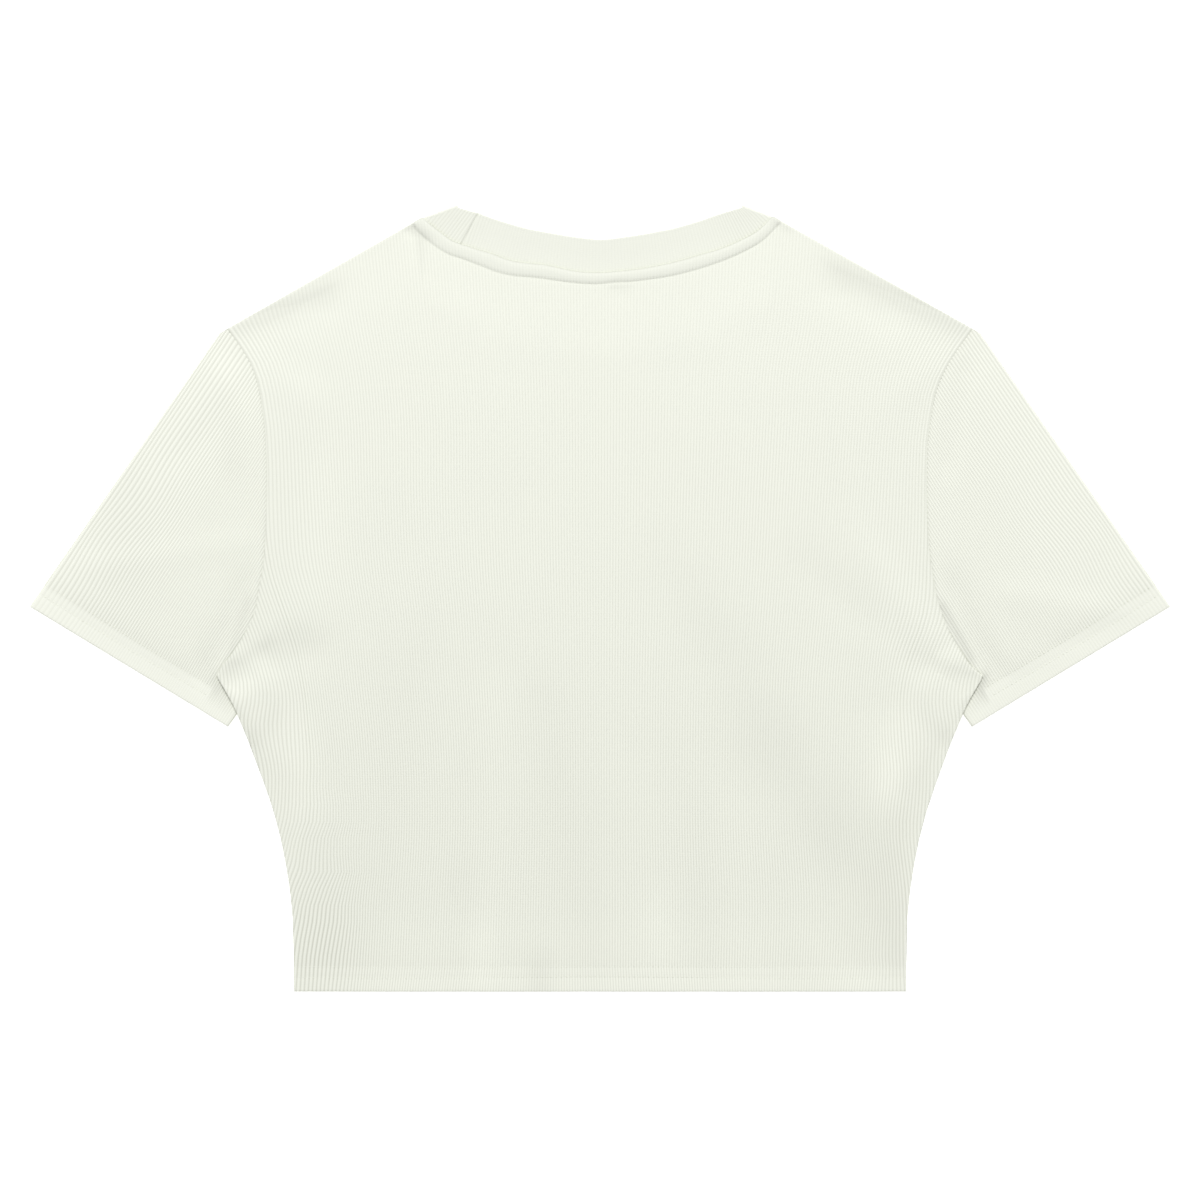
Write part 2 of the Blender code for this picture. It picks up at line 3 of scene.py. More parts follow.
import bmesh
import bpy
import numpy as np
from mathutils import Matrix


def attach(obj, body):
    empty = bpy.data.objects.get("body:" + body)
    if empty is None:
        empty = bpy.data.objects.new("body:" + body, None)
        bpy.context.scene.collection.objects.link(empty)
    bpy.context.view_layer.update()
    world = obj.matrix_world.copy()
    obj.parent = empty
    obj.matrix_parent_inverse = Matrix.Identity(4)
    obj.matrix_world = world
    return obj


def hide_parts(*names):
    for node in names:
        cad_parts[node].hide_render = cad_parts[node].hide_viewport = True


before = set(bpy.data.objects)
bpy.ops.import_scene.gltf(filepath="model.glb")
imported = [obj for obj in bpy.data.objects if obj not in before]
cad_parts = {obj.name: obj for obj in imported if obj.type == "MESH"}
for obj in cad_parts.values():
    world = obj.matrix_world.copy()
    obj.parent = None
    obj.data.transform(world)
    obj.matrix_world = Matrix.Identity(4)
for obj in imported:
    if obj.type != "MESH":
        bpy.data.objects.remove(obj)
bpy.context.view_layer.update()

# Sizes are in millimetres, and from the studio on in metres: x to the right, y towards the neck, z up.
mm = 0.001

outline = {
    "armpit": (210.0, -42.8),
    "hem": -215.5,
    "hemHalf": 167.8,
    "shoulder": (204.5, 147.5),
    # side seam, armpit to hem: (share of its height, share of the way in)
    "sideSeam": (
        (0.00, 0.00), (0.08, 0.19), (0.18, 0.37), (0.29, 0.54),
        (0.44, 0.75), (0.6, 0.9), (0.75, 0.98), (1.00, 1.00),
    ),
    # armhole seams, armpit to shoulder: (y, distance from the middle)
    "armholeLeft": (
        (-42.8, 210), (-37.8, 207.6), (-31.8, 202.9), (-21.9, 196.3), (-8.2, 189.7),
        (5.5, 187), (18.1, 184.8), (31.8, 183.7), (51.5, 182.9), (79, 183.1),
        (93.8, 183.9), (104.2, 185.3), (114.6, 187), (127.2, 191.1), (137.6, 197.4), (147.5, 204.5),
    ),
    "armholeRight": (
        (-42.8, 210), (-38.9, 205.3), (-28.5, 197.4), (-18.1, 191.4), (-7.1, 187),
        (1.4, 184.5), (13.2, 182.4), (26.3, 180.6), (42.2, 179.6), (73.5, 179.3),
        (87.2, 179.8), (99.8, 181.5), (110.5, 183.4), (117.9, 185.9), (130.5, 192.5), (147.5, 204.5),
    ),
    # seam of the neckband on the back, from fold to fold: (x, y)
    "neckSeam": (
        (-97.3, 208.6), (-93.2, 204.8), (-87.7, 200.5), (-81.7, 196), (-77, 193.9), (-71.3, 192.2),
        (-65.8, 190.3), (-60.3, 188.8), (-54.8, 186.7), (-48.2, 184.5), (-38.4, 183.1), (-30.2, 182.3),
        (-23.6, 180.9), (-13.7, 178.8), (-6, 178.1), (0, 178), (11, 178.8), (24.7, 180.5),
        (35.6, 182.6), (46.6, 185.3), (54.8, 187.8), (65.8, 191), (76.8, 195.7), (87.7, 202.1), (94.6, 209.2),
    ),
    # lower edge of the ridge under it
    "ridgeLine": (
        (-103.6, 205.1), (-98.7, 199.6), (-93.2, 194.9), (-87.7, 190.8), (-82.2, 187.8), (-76.8, 186.1),
        (-65.8, 182), (-54.8, 177.9), (-46.6, 176.3), (-35.6, 175.3), (-24.7, 173.8), (-13.7, 172.4),
        (0, 171.9), (8.2, 172.8), (16.4, 173.1), (27.4, 174.4), (38.4, 176.1), (49.3, 178.7),
        (65.8, 184), (76.8, 188.6), (90.5, 196.8), (98.7, 205.1), (101.4, 207),
    ),
    # the band's free edge on the back, middle to fold
    "backEdge": (
        (0, 196.6), (13.7, 198), (30.2, 200.7), (38.4, 202.3), (54.8, 206.9), (67.4, 211.2), (77.9, 215.5),
    ),
    "frontSeam": (
        (0, 126.7), (43.9, 130.5), (63, 136.6), (81.7, 145.3),
        (91, 154.3), (97, 166.1), (99, 188), (97.6, 208.4),
    ),
    "frontEdge": (
        (0, 143.6), (38.4, 145.8), (54, 149.8), (68.5, 155.2),
        (75, 160.5), (79.5, 169), (81, 190), (77.9, 215.5),
    ),
}


def through(rows, at):
    # smooth curve through (place, height) rows: cubic pieces whose slopes come from the neighbours
    place, height = np.array(rows, float).T
    slope = np.gradient(height, place)
    i = np.clip(np.searchsorted(place, at) - 1, 0, len(place) - 2)
    step = place[i + 1] - place[i]
    t = np.clip((at - place[i]) / step, 0.0, 1.0)
    start = (1 + 2 * t) * (1 - t) ** 2 * height[i] + t * (1 - t) ** 2 * step * slope[i]
    return start + t * t * (3 - 2 * t) * height[i + 1] + t * t * (t - 1) * step * slope[i + 1]


def ease(value):
    # 3 t^2 - 2 t^3, with t the value held between 0 and 1
    t = np.clip(value, 0.0, 1.0)
    return t * t * (3 - 2 * t)


def bell(distance, width):
    # e to the minus (distance / width) squared
    return np.exp(-((distance / width) ** 2))


def rolled(distance, radius):
    # quarter circle: 0 at the edge, 1 from one radius inwards
    t = np.clip(distance / radius, 0.0, 1.0)
    return np.sqrt(1 - (1 - t) ** 2)


def creases(x, y, rows):
    # sum of soft ridges and hollows: height * bell across the line * bell past its ends, 1.6 times as wide
    total = np.zeros(np.broadcast(x, y).shape)
    for x0, y0, x1, y1, halfWidth, height in rows:
        length = math.hypot(x1 - x0, y1 - y0)
        ax, ay = (x1 - x0) / length, (y1 - y0) / length
        reach = (x - x0) * ax + (y - y0) * ay
        aside = (y - y0) * ax - (x - x0) * ay
        beyond = np.maximum(np.maximum(-reach, reach - length), 0.0)
        total = total + height * bell(aside, halfWidth) * bell(beyond, 1.6 * halfWidth)
    return total


def waves(x, y, rows):
    # sum of sideways waves: shift * sin(2 pi (y - its middle) / length + phase) * bell across * bell along
    total = np.zeros(np.broadcast(x, y).shape)
    for cx, wide, cy, high, length, shift, phase in rows:
        total = total + shift * np.sin(2 * np.pi * (y - cy) / length + phase) * bell(x - cx, wide) * bell(y - cy, high)
    return total


def hemmed(height, fromHem, piece):
    # the hem's doubled cloth is a little higher, sewn down on two lines, and its edge curls up
    doubled = piece["hemStep"] * ease((piece["hemRows"][1] - fromHem) / 1.2)
    sewn = sum(piece["hemSink"] * bell(fromHem - row, 0.6) for row in piece["hemRows"])
    curlHeight, curlReach = piece["hemCurl"]
    return height + doubled - sewn + curlHeight * ease((curlReach - fromHem) / curlReach)


def ribShape(rib):
    # |cos(pi rib)| to the power 0.8: a round crest on whole numbers, a narrow groove between them
    return np.abs(np.cos(np.pi * rib)) ** 0.8


# the body's outline as dense tables, for distances to its edges
armpitX, armpitY = outline["armpit"]
shoulderTipX, shoulderTipY = outline["shoulder"]
edgeY = np.linspace(outline["hem"], shoulderTipY, 900)
belowArmpit = (armpitY - edgeY) / (armpitY - outline["hem"])
sideX = armpitX - (armpitX - outline["hemHalf"]) * through(outline["sideSeam"], belowArmpit)
# tables with one row for the left half and one for the right: distance of the edge from the middle, and how steep
# it is, evened out over 31 samples (13 mm) so that the armpit's corner leaves no line in the cloth
edges = [np.where(edgeY < armpitY, sideX, through(outline["armhole" + side], edgeY)) for side in ("Left", "Right")]
evened = 31
steepness = [
    np.convolve(np.pad(np.abs(np.gradient(edge, edgeY)), evened // 2, "edge"), np.full(evened, 1 / evened), "valid")
    for edge in edges
]
seamX, seamY = np.array(outline["neckSeam"]).T
ridgeX = np.array(outline["ridgeLine"])[:, 0]
topX = np.linspace(-shoulderTipX, shoulderTipX, 1600)
onBand = (topX > seamX[0]) & (topX < seamX[-1])
shoulderX = [-shoulderTipX, seamX[0], seamX[-1], shoulderTipX]
shoulderY = [shoulderTipY, seamY[0], seamY[-1], shoulderTipY]
topY = np.where(onBand, through(outline["neckSeam"], topX), np.interp(topX, shoulderX, shoulderY))
topSlope = np.gradient(topY, topX)
ridgeWidths = topY - through(outline["ridgeLine"], topX)
ridgeWidths = np.where((topX > ridgeX[0]) & (topX < ridgeX[-1]), np.maximum(ridgeWidths, 0.1), 0.1)


def bySide(right, y, tables):
    # value at height y in the right half's table, or else in the left half's
    return np.where(right, np.interp(y, edgeY, tables[1]), np.interp(y, edgeY, tables[0]))


def edgeAt(x, y):
    # distance of the side seam or armhole from the middle, on the side where x is
    return bySide(x >= 0, y, edges)


def fromSide(x, y):
    # distance inwards from the side seam or armhole: the level distance times the cosine of the edge's slope,
    # and above the armhole the distance from its upper end
    away = (edgeAt(x, y) - np.abs(x)) / np.hypot(1.0, bySide(x >= 0, y, steepness))
    above = y - shoulderTipY
    return np.where(above > 0, np.hypot(away, above), away)


def fromTop(x, y):
    # distance down from the neck seam or shoulder, in the same way
    return (np.interp(x, topX, topY) - y) / np.hypot(1.0, np.interp(x, topX, topSlope))


def joined(*parts):
    # arrays and numbers side by side along a last axis, spread to one shape
    return np.stack(np.broadcast_arrays(*parts), axis=-1)


def lengthAlong(line):
    # how far along its line each point is
    return np.concatenate([[0.0], np.cumsum(np.linalg.norm(np.diff(line, axis=0), axis=1))])


def solved(function, goal, least, most, halvings):
    # where a rising function meets its goal: the stretch from least to most is halved again and again
    for _ in range(halvings):
        middle = (least + most) / 2
        beyond = function(middle) > goal
        most, least = np.where(beyond, middle, most), np.where(beyond, least, middle)
    return most


# mesh helpers
def gridQuads(index):
    corners = (index[:-1, :-1], index[:-1, 1:], index[1:, 1:], index[1:, :-1])
    return np.stack(corners, axis=-1).reshape(-1, 4)


def bridge(fine, finePlace, coarse, coarsePlace):
    # triangles between two rows of points, taken in the order of their places along the row
    beside = np.searchsorted(coarsePlace[1:], finePlace[1:], "left").clip(max=len(coarse) - 1)
    along = np.stack([fine[:-1], fine[1:], coarse[beside]], axis=1)
    beside = np.searchsorted(finePlace[1:], coarsePlace[1:], "right").clip(max=len(fine) - 1)
    back = np.stack([fine[beside], coarse[1:], coarse[:-1]], axis=1)
    return np.concatenate([along, back])


def inScene(name, data):
    thing = bpy.data.objects.new(name, data)
    bpy.context.scene.collection.objects.link(thing)
    return thing


def newPiece(name, points, faces, ribUv, paintedShade, grooveShade, material):
    # a mesh from whole arrays, with the rib number and the way along the rib as its UV map
    mesh = bpy.data.meshes.new(name)
    mesh.from_pydata(points * mm, [], [face for part in faces for face in part.tolist()])
    work = bmesh.new()
    work.from_mesh(mesh)
    bmesh.ops.recalc_face_normals(work, faces=work.faces)
    work.to_mesh(mesh)
    work.free()
    corner = np.empty(len(mesh.loops), np.int32)
    mesh.loops.foreach_get("vertex_index", corner)
    layer = mesh.uv_layers.new(name="ribs")
    layer.data.foreach_set("uv", ribUv[corner].astype(np.float32).ravel())
    # painted shade, and the share of painted shade in the grooves, kept on the points for the knit material
    for label, values in (("paintedShade", paintedShade), ("grooveShade", grooveShade)):
        layer = mesh.attributes.new(label, "FLOAT", "POINT")
        layer.data.foreach_set("value", np.broadcast_to(values, len(points)).astype(np.float32))
    mesh.polygons.foreach_set("use_smooth", np.ones(len(mesh.polygons), bool))
    mesh.materials.append(material)
    return inScene(name, mesh)


def wallPiece(name, outer, outerUv, paintedShade, grooveShade, inner, columnStep, rowStep, material, ring=False):
    # closed cloth wall: a fine outer grid, a plainer inner one on every so many of its columns and rows,
    # and a strip between their edges
    rows, columns = outer.shape[:2]
    keepColumn = np.unique(np.append(np.arange(0, columns, columnStep), [] if ring else columns - 1)).astype(int)
    keepRow = np.unique(np.append(np.arange(0, rows, rowStep), rows - 1)).astype(int)
    inside = inner[np.ix_(keepRow, keepColumn)]
    outerIndex = np.arange(rows * columns).reshape(rows, columns)
    innerIndex = rows * columns + np.arange(inside.shape[0] * inside.shape[1]).reshape(inside.shape[:2])
    outerPlace, innerPlace = np.arange(columns), keepColumn
    if ring:
        outerIndex = np.column_stack([outerIndex, outerIndex[:, 0]])
        innerIndex = np.column_stack([innerIndex, innerIndex[:, 0]])
        outerPlace, innerPlace = np.append(outerPlace, columns), np.append(innerPlace, columns)
    faces = [gridQuads(outerIndex), gridQuads(innerIndex)]
    for row in (0, -1):
        faces.append(bridge(outerIndex[row], outerPlace, innerIndex[row], innerPlace))
    if not ring:
        for column in (0, -1):
            faces.append(bridge(outerIndex[:, column], np.arange(rows), innerIndex[:, column], keepRow))
    points = np.concatenate([outer.reshape(-1, 3), inside.reshape(-1, 3)])
    uv = np.concatenate([outerUv.reshape(-1, 2), outerUv[np.ix_(keepRow, keepColumn)].reshape(-1, 2)])
    onBoth = [np.broadcast_to(values, (rows, columns)) for values in (paintedShade, grooveShade)]
    shades = [np.concatenate([v.ravel(), v[np.ix_(keepRow, keepColumn)].ravel()]) for v in onBoth]
    return newPiece(name, points, faces, uv, *shades, material)


def stitchRow(line, stitch):
    # small arched threads along a line of points, five rings of six points each, thinner towards their ends:
    # radius * sqrt(1 - (1.7 t)^2), with t the share of the length from the middle
    along = lengthAlong(line)
    pitch = stitch["length"] + stitch["gap"]
    count = int(along[-1] / pitch)
    t = np.linspace(-0.5, 0.5, 5)
    start = (np.arange(count) + 0.5) * along[-1] / count
    at = start[:, None] + t * stitch["length"]
    centre = joined(*(np.interp(at, along, line[:, k]) for k in range(3)))
    centre[..., 2] -= stitch["sink"] * (2 * t) ** 2
    ahead = np.gradient(centre, axis=1)
    ahead /= np.linalg.norm(ahead, axis=-1, keepdims=True)
    left = np.cross([0.0, 0.0, 1.0], ahead)
    left /= np.linalg.norm(left, axis=-1, keepdims=True)
    up = np.cross(ahead, left)
    turn = np.linspace(0.0, 2 * np.pi, 6, endpoint=False)
    radius = stitch["radius"] * np.sqrt(1 - (1.7 * t) ** 2)[None, :, None, None]
    around = left[:, :, None] * np.cos(turn)[:, None] + up[:, :, None] * np.sin(turn)[:, None]
    return centre[:, :, None] + radius * around


def stitchPiece(name, rows, material):
    # all stitches of several rows in one mesh, closed at both ends
    rings = np.concatenate(rows)
    index = np.arange(rings[..., 0].size).reshape(rings.shape[:3])
    index = np.concatenate([index, index[:, :, :1]], axis=2)
    corners = (index[:, :-1, :-1], index[:, 1:, :-1], index[:, 1:, 1:], index[:, :-1, 1:])
    sides = np.stack(corners, axis=-1).reshape(-1, 4)
    ends = np.concatenate([index[:, 0, :-1], index[:, -1, :-1]])
    points = rings.reshape(-1, 3)
    uv = points[:, :2] * 0.7
    return newPiece(name, points, [sides, ends], uv, 0.0, 0.3, material)


# the knit
knit = {
    "crest": (0.828, 0.842, 0.757),
    # painted light: the sleeves' crest colour is a little lighter than the body's, though the cloth is the same
    "sleeveCrestLit": (0.858, 0.872, 0.784),
    # painted shade: the grooves' colour, much darker than the crests', stands in for the shade between the ribs
    "grooveShade": (0.560, 0.570, 0.490),
    "threadCrest": (0.84, 0.855, 0.77),
    # painted shade in the threads' grooves as well
    "threadGrooveShade": (0.80, 0.815, 0.73),
    "course": 0.95,  # length of one stitch along the rib, in millimetres
    "chevron": 0.9,  # how far a stitch leans, in courses to a rib
    "stitchBump": 0.13,
    "fuzzBump": 0.08,
    "fuzzScale": 2600.0,
    "bumpStrength": 0.6,
    "bumpDepth": 0.6 * mm,
    "cloudScale": 22.0,
    "cloudTone": 0.02,
    "roughness": 0.92,
    "sheen": 0.12,
    "sheenRoughness": 0.6,
    "specular": 0.15,
    "paintedShadeTone": 0.020,  # how much darker one unit of painted shade makes the colour, a unit being a millimetre of crease hollow
}


def fill(tree, node, values):
    # numbers and colours are set on the node's sockets, and other nodes' outputs are linked to them
    for key, value in values.items():
        if isinstance(value, bpy.types.NodeSocket):
            tree.links.new(value, node.inputs[key])
        else:
            node.inputs[key].default_value = value
    return node


def ribKnit(name, crest, grooveShade=knit["grooveShade"]):
    # rib knit on the piece's own UV map: u is the rib's number, v the millimetres along it
    material = bpy.data.materials.new(name)
    material.use_nodes = True
    tree = material.node_tree

    def add(kind, values):
        return fill(tree, tree.nodes.new("ShaderNode" + kind), values)

    def calc(operation, *values):
        node = add("Math", {})
        node.operation = operation
        return fill(tree, node, dict(enumerate(values))).outputs[0]

    def stored(label):
        node = add("Attribute", {})
        node.attribute_name = label
        return node.outputs["Fac"]

    uvMap = add("UVMap", {})
    uvMap.uv_map = "ribs"
    across, along = add("SeparateXYZ", {0: uvMap.outputs[0]}).outputs[:2]
    place = add("TexCoord", {}).outputs["Object"]

    # distance from the crest's middle, 0 on it and 0.5 in the groove
    offCrest = calc("ABSOLUTE", calc("SUBTRACT", calc("FRACT", calc("ADD", across, 0.5)), 0.5))
    crestShare = calc("COSINE", calc("MULTIPLY", offCrest, math.pi))
    # chevrons on the crest: sin(2 pi (along / course - chevron * offCrest))
    course = calc("SUBTRACT", calc("DIVIDE", along, knit["course"]), calc("MULTIPLY", offCrest, knit["chevron"]))
    wave = calc("SINE", calc("MULTIPLY", course, 2 * math.pi))
    stitch = calc("MULTIPLY", calc("MULTIPLY_ADD", wave, 0.5, 0.5), crestShare)
    fuzz = add("TexNoise", {"Vector": place, "Scale": knit["fuzzScale"], "Detail": 2.0}).outputs[0]
    stitchHeight = calc("MULTIPLY", stitch, knit["stitchBump"])
    height = calc("ADD", stitchHeight, calc("MULTIPLY", fuzz, knit["fuzzBump"]))
    bump = add("Bump", {"Strength": knit["bumpStrength"], "Distance": knit["bumpDepth"], "Height": height})

    # colour, with painted shade: the crest's has a share of 1 - groove * (1 - cos(pi offCrest)^0.7), so the grooves are
    # painted darker; the painted shade attribute makes it darker still, or lighter where it is negative, and it is a
    # little clouded
    depth = calc("SUBTRACT", 1.0, calc("POWER", crestShare, 0.7))
    onCrest = calc("SUBTRACT", 1.0, calc("MULTIPLY", depth, stored("grooveShade")))
    toneMix = add("Mix", {0: onCrest})
    toneMix.data_type = "RGBA"
    fill(tree, toneMix, {6: (*grooveShade, 1.0), 7: (*crest, 1.0)})
    cloud = add("TexNoise", {"Vector": place, "Scale": knit["cloudScale"], "Detail": 3.0}).outputs[0]
    clouded = calc("MULTIPLY_ADD", cloud, knit["cloudTone"], 1.0 - knit["cloudTone"] / 2)
    tone = calc("SUBTRACT", clouded, calc("MULTIPLY", stored("paintedShade"), knit["paintedShadeTone"]))
    scaled = add("VectorMath", {})
    scaled.operation = "SCALE"
    fill(tree, scaled, {0: toneMix.outputs[2], "Scale": tone})
    fill(tree, tree.nodes["Principled BSDF"], {
        "Base Color": scaled.outputs[0],
        "Normal": bump.outputs[0],
        "Roughness": knit["roughness"],
        "Sheen Weight": knit["sheen"],
        "Sheen Roughness": knit["sheenRoughness"],
        "Specular IOR Level": knit["specular"],
    })
    return material


backKnit = ribKnit("backRibKnit", knit["crest"])
frontKnit = ribKnit("frontRibKnit", knit["crest"])
leftKnit = ribKnit("leftSleeveRibKnit", knit["sleeveCrestLit"])
rightKnit = ribKnit("rightSleeveRibKnit", knit["sleeveCrestLit"])
bandKnit = ribKnit("neckbandRibKnit", knit["crest"])
threadKnit = ribKnit("sewingThread", knit["threadCrest"], knit["threadGrooveShade"])
print("knit materials made")


# back panel
back = {
    "under": 1.5,  # height of its underside at the edges
    "wall": 1.2,
    "ribHeight": 0.34,
    "loft": 1.3,  # how much higher the slack cloth stands in the middle
    "loftReach": (34.0, 40.0, 30.0),  # from the sides, the top and the hem inwards
    "ridge": 1.1,
    "ridgeCrest": 0.35,  # where its crest is, as a share of its width
    "valley": 0.04,
    # sleeve's corner tucked beneath each armpit: distance from the middle, y, reach, softness
    "tuck": (202.0, -54.0, 32.0, 13.0),
    "tuckLift": 1.25,
    "flap": (-52.0, 8.5, 24.0),  # y, half height and reach inwards of the lifted edge
    "flapLift": 0.2,
    "imprint": (0.22, 0.26),  # step up at the front neckband's seam, and down behind its free edge
    "imprintHalf": 108.0,
    "edgeShare": 0.55,  # share of the thickness that is left at the sides
    "edgeRadius": 0.5,
    "tuckRadius": 0.8,
    "edgeDrop": 0.45,  # how far the edge reaches down to the front panel
    "besideArmpit": -33.0,  # y at which the ribs reach the edge and the seam's painted shade is darkest
    "hemRows": (7.8, 13.4),
    "hemStep": 0.07,
    "hemSink": 0.07,
    "hemCurl": (0.30, 9.0),  # height and reach
    "hemFaint": 0.3,  # how much lower the ribs are on the hem
    "hemLean": (0.5, 41.0, 0.6),  # how the ribs lean on the hem: sideways shift, length and phase of the wave
    "seamShade": 2.6,
    "armpitShade": 3.0,
    "ridgeShade": (8.0, 2.0, 0.8),  # beside the band, on its upper side and at its foot
    "hemLight": 1.1,
    "grooveShade": 0.45,
    "grooveBelow": 0.15,  # how much darker the grooves are painted below
    "grooveAbove": -0.20,
    # where the grooves' painted shade is darker: (x, y, half width, half height, share)
    "openRibs": (
        (-154, -190, 24, 30, 0.48), (-190, -60, 22, 50, 0.1),
        (186, -60, 22, 50, 0.02), (158, -150, 26, 50, 0.05),
    ),
    # spacing of the ribs in the middle of each half: (y, left, right)
    "spacing": (
        (-215.5, 1.46, 1.48), (-166, 1.43, 1.5), (-122, 1.4, 1.47), (-78, 1.42, 1.475), (-45, 1.46, 1.49),
        (-12, 1.5, 1.53), (20, 1.555, 1.57), (54, 1.58, 1.6), (98, 1.59, 1.64), (120, 1.615, 1.66),
        (152, 1.68, 1.74), (208, 1.77, 1.82),
    ),
    # where the ribs open towards the sides: (y, distance from the middle where it starts, how much wider they get)
    "openLeft": (
        (-215.5, 124, 0.75), (-188, 126, 0.85), (-144, 134, 0.75), (-100, 142, 0.55),
        (-70, 152, 0.9), (-45, 156, 0.55), (-10, 146, 0.55), (40, 143, 0.55),
        (65, 143, 0.4), (90, 150, 0.12), (147.5, 160, 0.1),
    ),
    "openRight": (
        (-215.5, 138, 0.5), (-188, 146, 0.45), (-144, 150, 0.4), (-100, 146, 0.55),
        (-70, 150, 0.55), (-45, 152, 0.5), (-12, 142, 0.65), (20, 139, 0.36),
        (54, 138, 0.16), (98, 150, 0.02), (147.5, 160, 0.02),
    ),
    "openWidth": 20.0,  # width over which they get wider
    "narrowest": 52.0,  # y above which almost no rib ends at the armhole
    "lostAbove": 0.006,  # ribs lost to a millimetre there
    "straighten": 14.0,  # height above the armhole in which the ribs straighten
    # soft creases: (x and y of one end, x and y of the other, half width, height)
    "creases": (
        (-205, -37, -163, -28, 9, -1.5), (-206, -41, -190, -43, 3, -0.5), (-203, -56, -176, -86, 9, 0.5),
        (-202, 145, -148, 165, 6, -0.9), (128, 174, 201, 144, 8, -1.2),
        (-180, 128, -165, 118, 9, 0.5), (183, 128, 168, 116, 9, 0.5),
        (-102, -43, -128, -190, 18, -0.6), (-153, -149, -145, -215, 12, -0.6), (-77, -160, -77, -215, 9, -0.5),
        (-56, -65, -60, -195, 12, 0.5), (-31, -65, -6, -212, 12, -0.6),
        (20, -110, 30, -200, 14, 0.4), (52, -130, 58, -210, 8, -0.4), (75, -120, 80, -210, 12, 0.4),
        (40, 12, 58, -20, 16, -0.4), (66, -36, 88, -80, 21, -0.8), (98, -98, 121, -130, 21, -0.9),
        (132, -144, 160, -180, 17, -0.8), (116, 15, 174, -31, 8, -0.6), (145, 28, 181, -18, 8, 0.5),
        (204, -46, 172, -36, 6, -0.6),
        (198, -58, 168, -95, 9, 0.5), (190, -75, 172, -125, 6, -0.5),
        (-104, 201, -98, 196, 4, -0.7), (8, 168, 14, 168, 2.5, -0.45),
    ),
    # soft painted shade in tight corners and along folds, and painted light where the depth is negative: (x and y of
    # one end, x and y of the other, half width, depth)
    "shades": (
        (-103, 203, -97, 199, 3, 3), (97, 206, 102, 203, 2.5, 3),
        (132, 177, 199, 149, 6, 2.8), (-201, 148, -150, 167, 5, 2.2),
        (-200, -35, -182, -25, 4, 2.5), (-182, -25, -166, -17, 5, 0.8), (182, -35, 205, -42, 3, 2),
        (-200, -52, -192, -44, 7, -3.2), (-192, 125, -165, 116, 10, -1),
        (160, -125, 163, -195, 9, 1.2), (-164, -75, -162, -110, 10, -1.3), (164, -72, 158, -104, 9, -1.8),
        (-66, -190, -66, -202, 9, -1.4), (33, -170, 33, -186, 9, -1), (126, -196, 138, -206, 11, -1.4),
        (-33, -206, -33, -215, 8, 2.6), (-164, -208, -160, -214, 9, 1.2),
        (-120, -190, 90, -192, 19, -1.1), (-150, 10, -150, 60, 14, -0.8), (-196, -60, -186, -90, 4, 1.2),
        (150, -75, 155, -100, 10, -1),
    ),
    # sideways waves of the ribs: (x, half width, y, half height, wave length, shift, phase)
    "waves": (
        (-186, 22, -62, 36, 42, 1, 0.2), (186, 22, -64, 38, 44, -1, 0.4),
        (-149, 19, -142, 32, 33, 1.8, -3.05), (-168, 14, 30, 50, 90, 0.6, 0),
        (160, 14, -98, 24, 90, 2, 1.571), (150, 10, -200, 14, 60, -1, 0),
    ),
}


def ribSpacing(y, right):
    # spacing in the middle, where it starts to open, and by how much, at height y on either half
    halves = []
    for column, name in ((1, "openLeft"), (2, "openRight")):
        tables = (back["spacing"], column), (back[name], 1), (back[name], 2)
        halves.append([through([(row[0], row[k]) for row in rows], y) for rows, k in tables])
    return [np.where(right, other, left) for left, other in zip(*halves)]


def ribNumber(distance, spacing, start, wider):
    # distance / spacing, less the ribs lost where they open: (1/spacing - 1/wider spacing) * the eased ramp's area
    t = (distance - start) / back["openWidth"]
    area = np.where(t < 1, np.clip(t, 0, 1) ** 3 - np.clip(t, 0, 1) ** 4 / 2, t - 0.5)
    return distance / spacing - (1 / spacing - 1 / (spacing + wider)) * back["openWidth"] * area


def lastRibs(right):
    # number of the rib that the edge cuts at each height; above the narrowest place it hardly changes
    last = ribNumber(edges[right], *ribSpacing(edgeY, right))
    atNarrowest = np.interp(back["narrowest"], edgeY, last)
    rest = atNarrowest - back["lostAbove"] * (edgeY - back["narrowest"])
    return np.where(edgeY > back["narrowest"], rest, last)


lastRib = [lastRibs(right) for right in (False, True)]
endSlope = [np.gradient(edge, edgeY)[-1] for edge in edges]


def bodyRibX(rib, y):
    # the inverse of ribNumber, plus what is left to the edge times (rib / last rib)^8
    rib, y = np.broadcast_arrays(rib, y)
    right = rib > 0
    # above the armhole its line runs on and straightens, so that no rib has a corner there
    onwards = 1 - np.exp(-np.maximum(y - shoulderTipY, 0.0) / back["straighten"])
    edge = bySide(right, y, edges) + back["straighten"] * np.where(right, endSlope[1], endSlope[0]) * onwards
    number, last = np.abs(rib), bySide(right, y, lastRib)
    layout = ribSpacing(y, right)
    widest = np.full(number.shape, 260.0)
    mine, atLast = (solved(lambda x: ribNumber(x, *layout), goal, 0 * widest, widest, 26) for goal in (number, last))
    share = np.clip(number / last, 0.0, 1.1)
    return np.sign(rib) * (mine + (edge - atLast) * share**8)


def bodyRibs():
    # four columns to a rib, and more where the armholes cut the ribs at a small angle
    heights = np.linspace(24.0, 147.0, 42)
    onLeft, onRight = (np.interp(heights, edgeY, last) for last in lastRib)
    plain = np.arange(-600, 601) * 0.25
    plain = plain[(plain > 0.2 - lastRib[0].max()) & (plain < lastRib[1].max() - 0.2)]
    return np.unique(np.round(np.concatenate([plain, -onLeft, onRight]), 4))


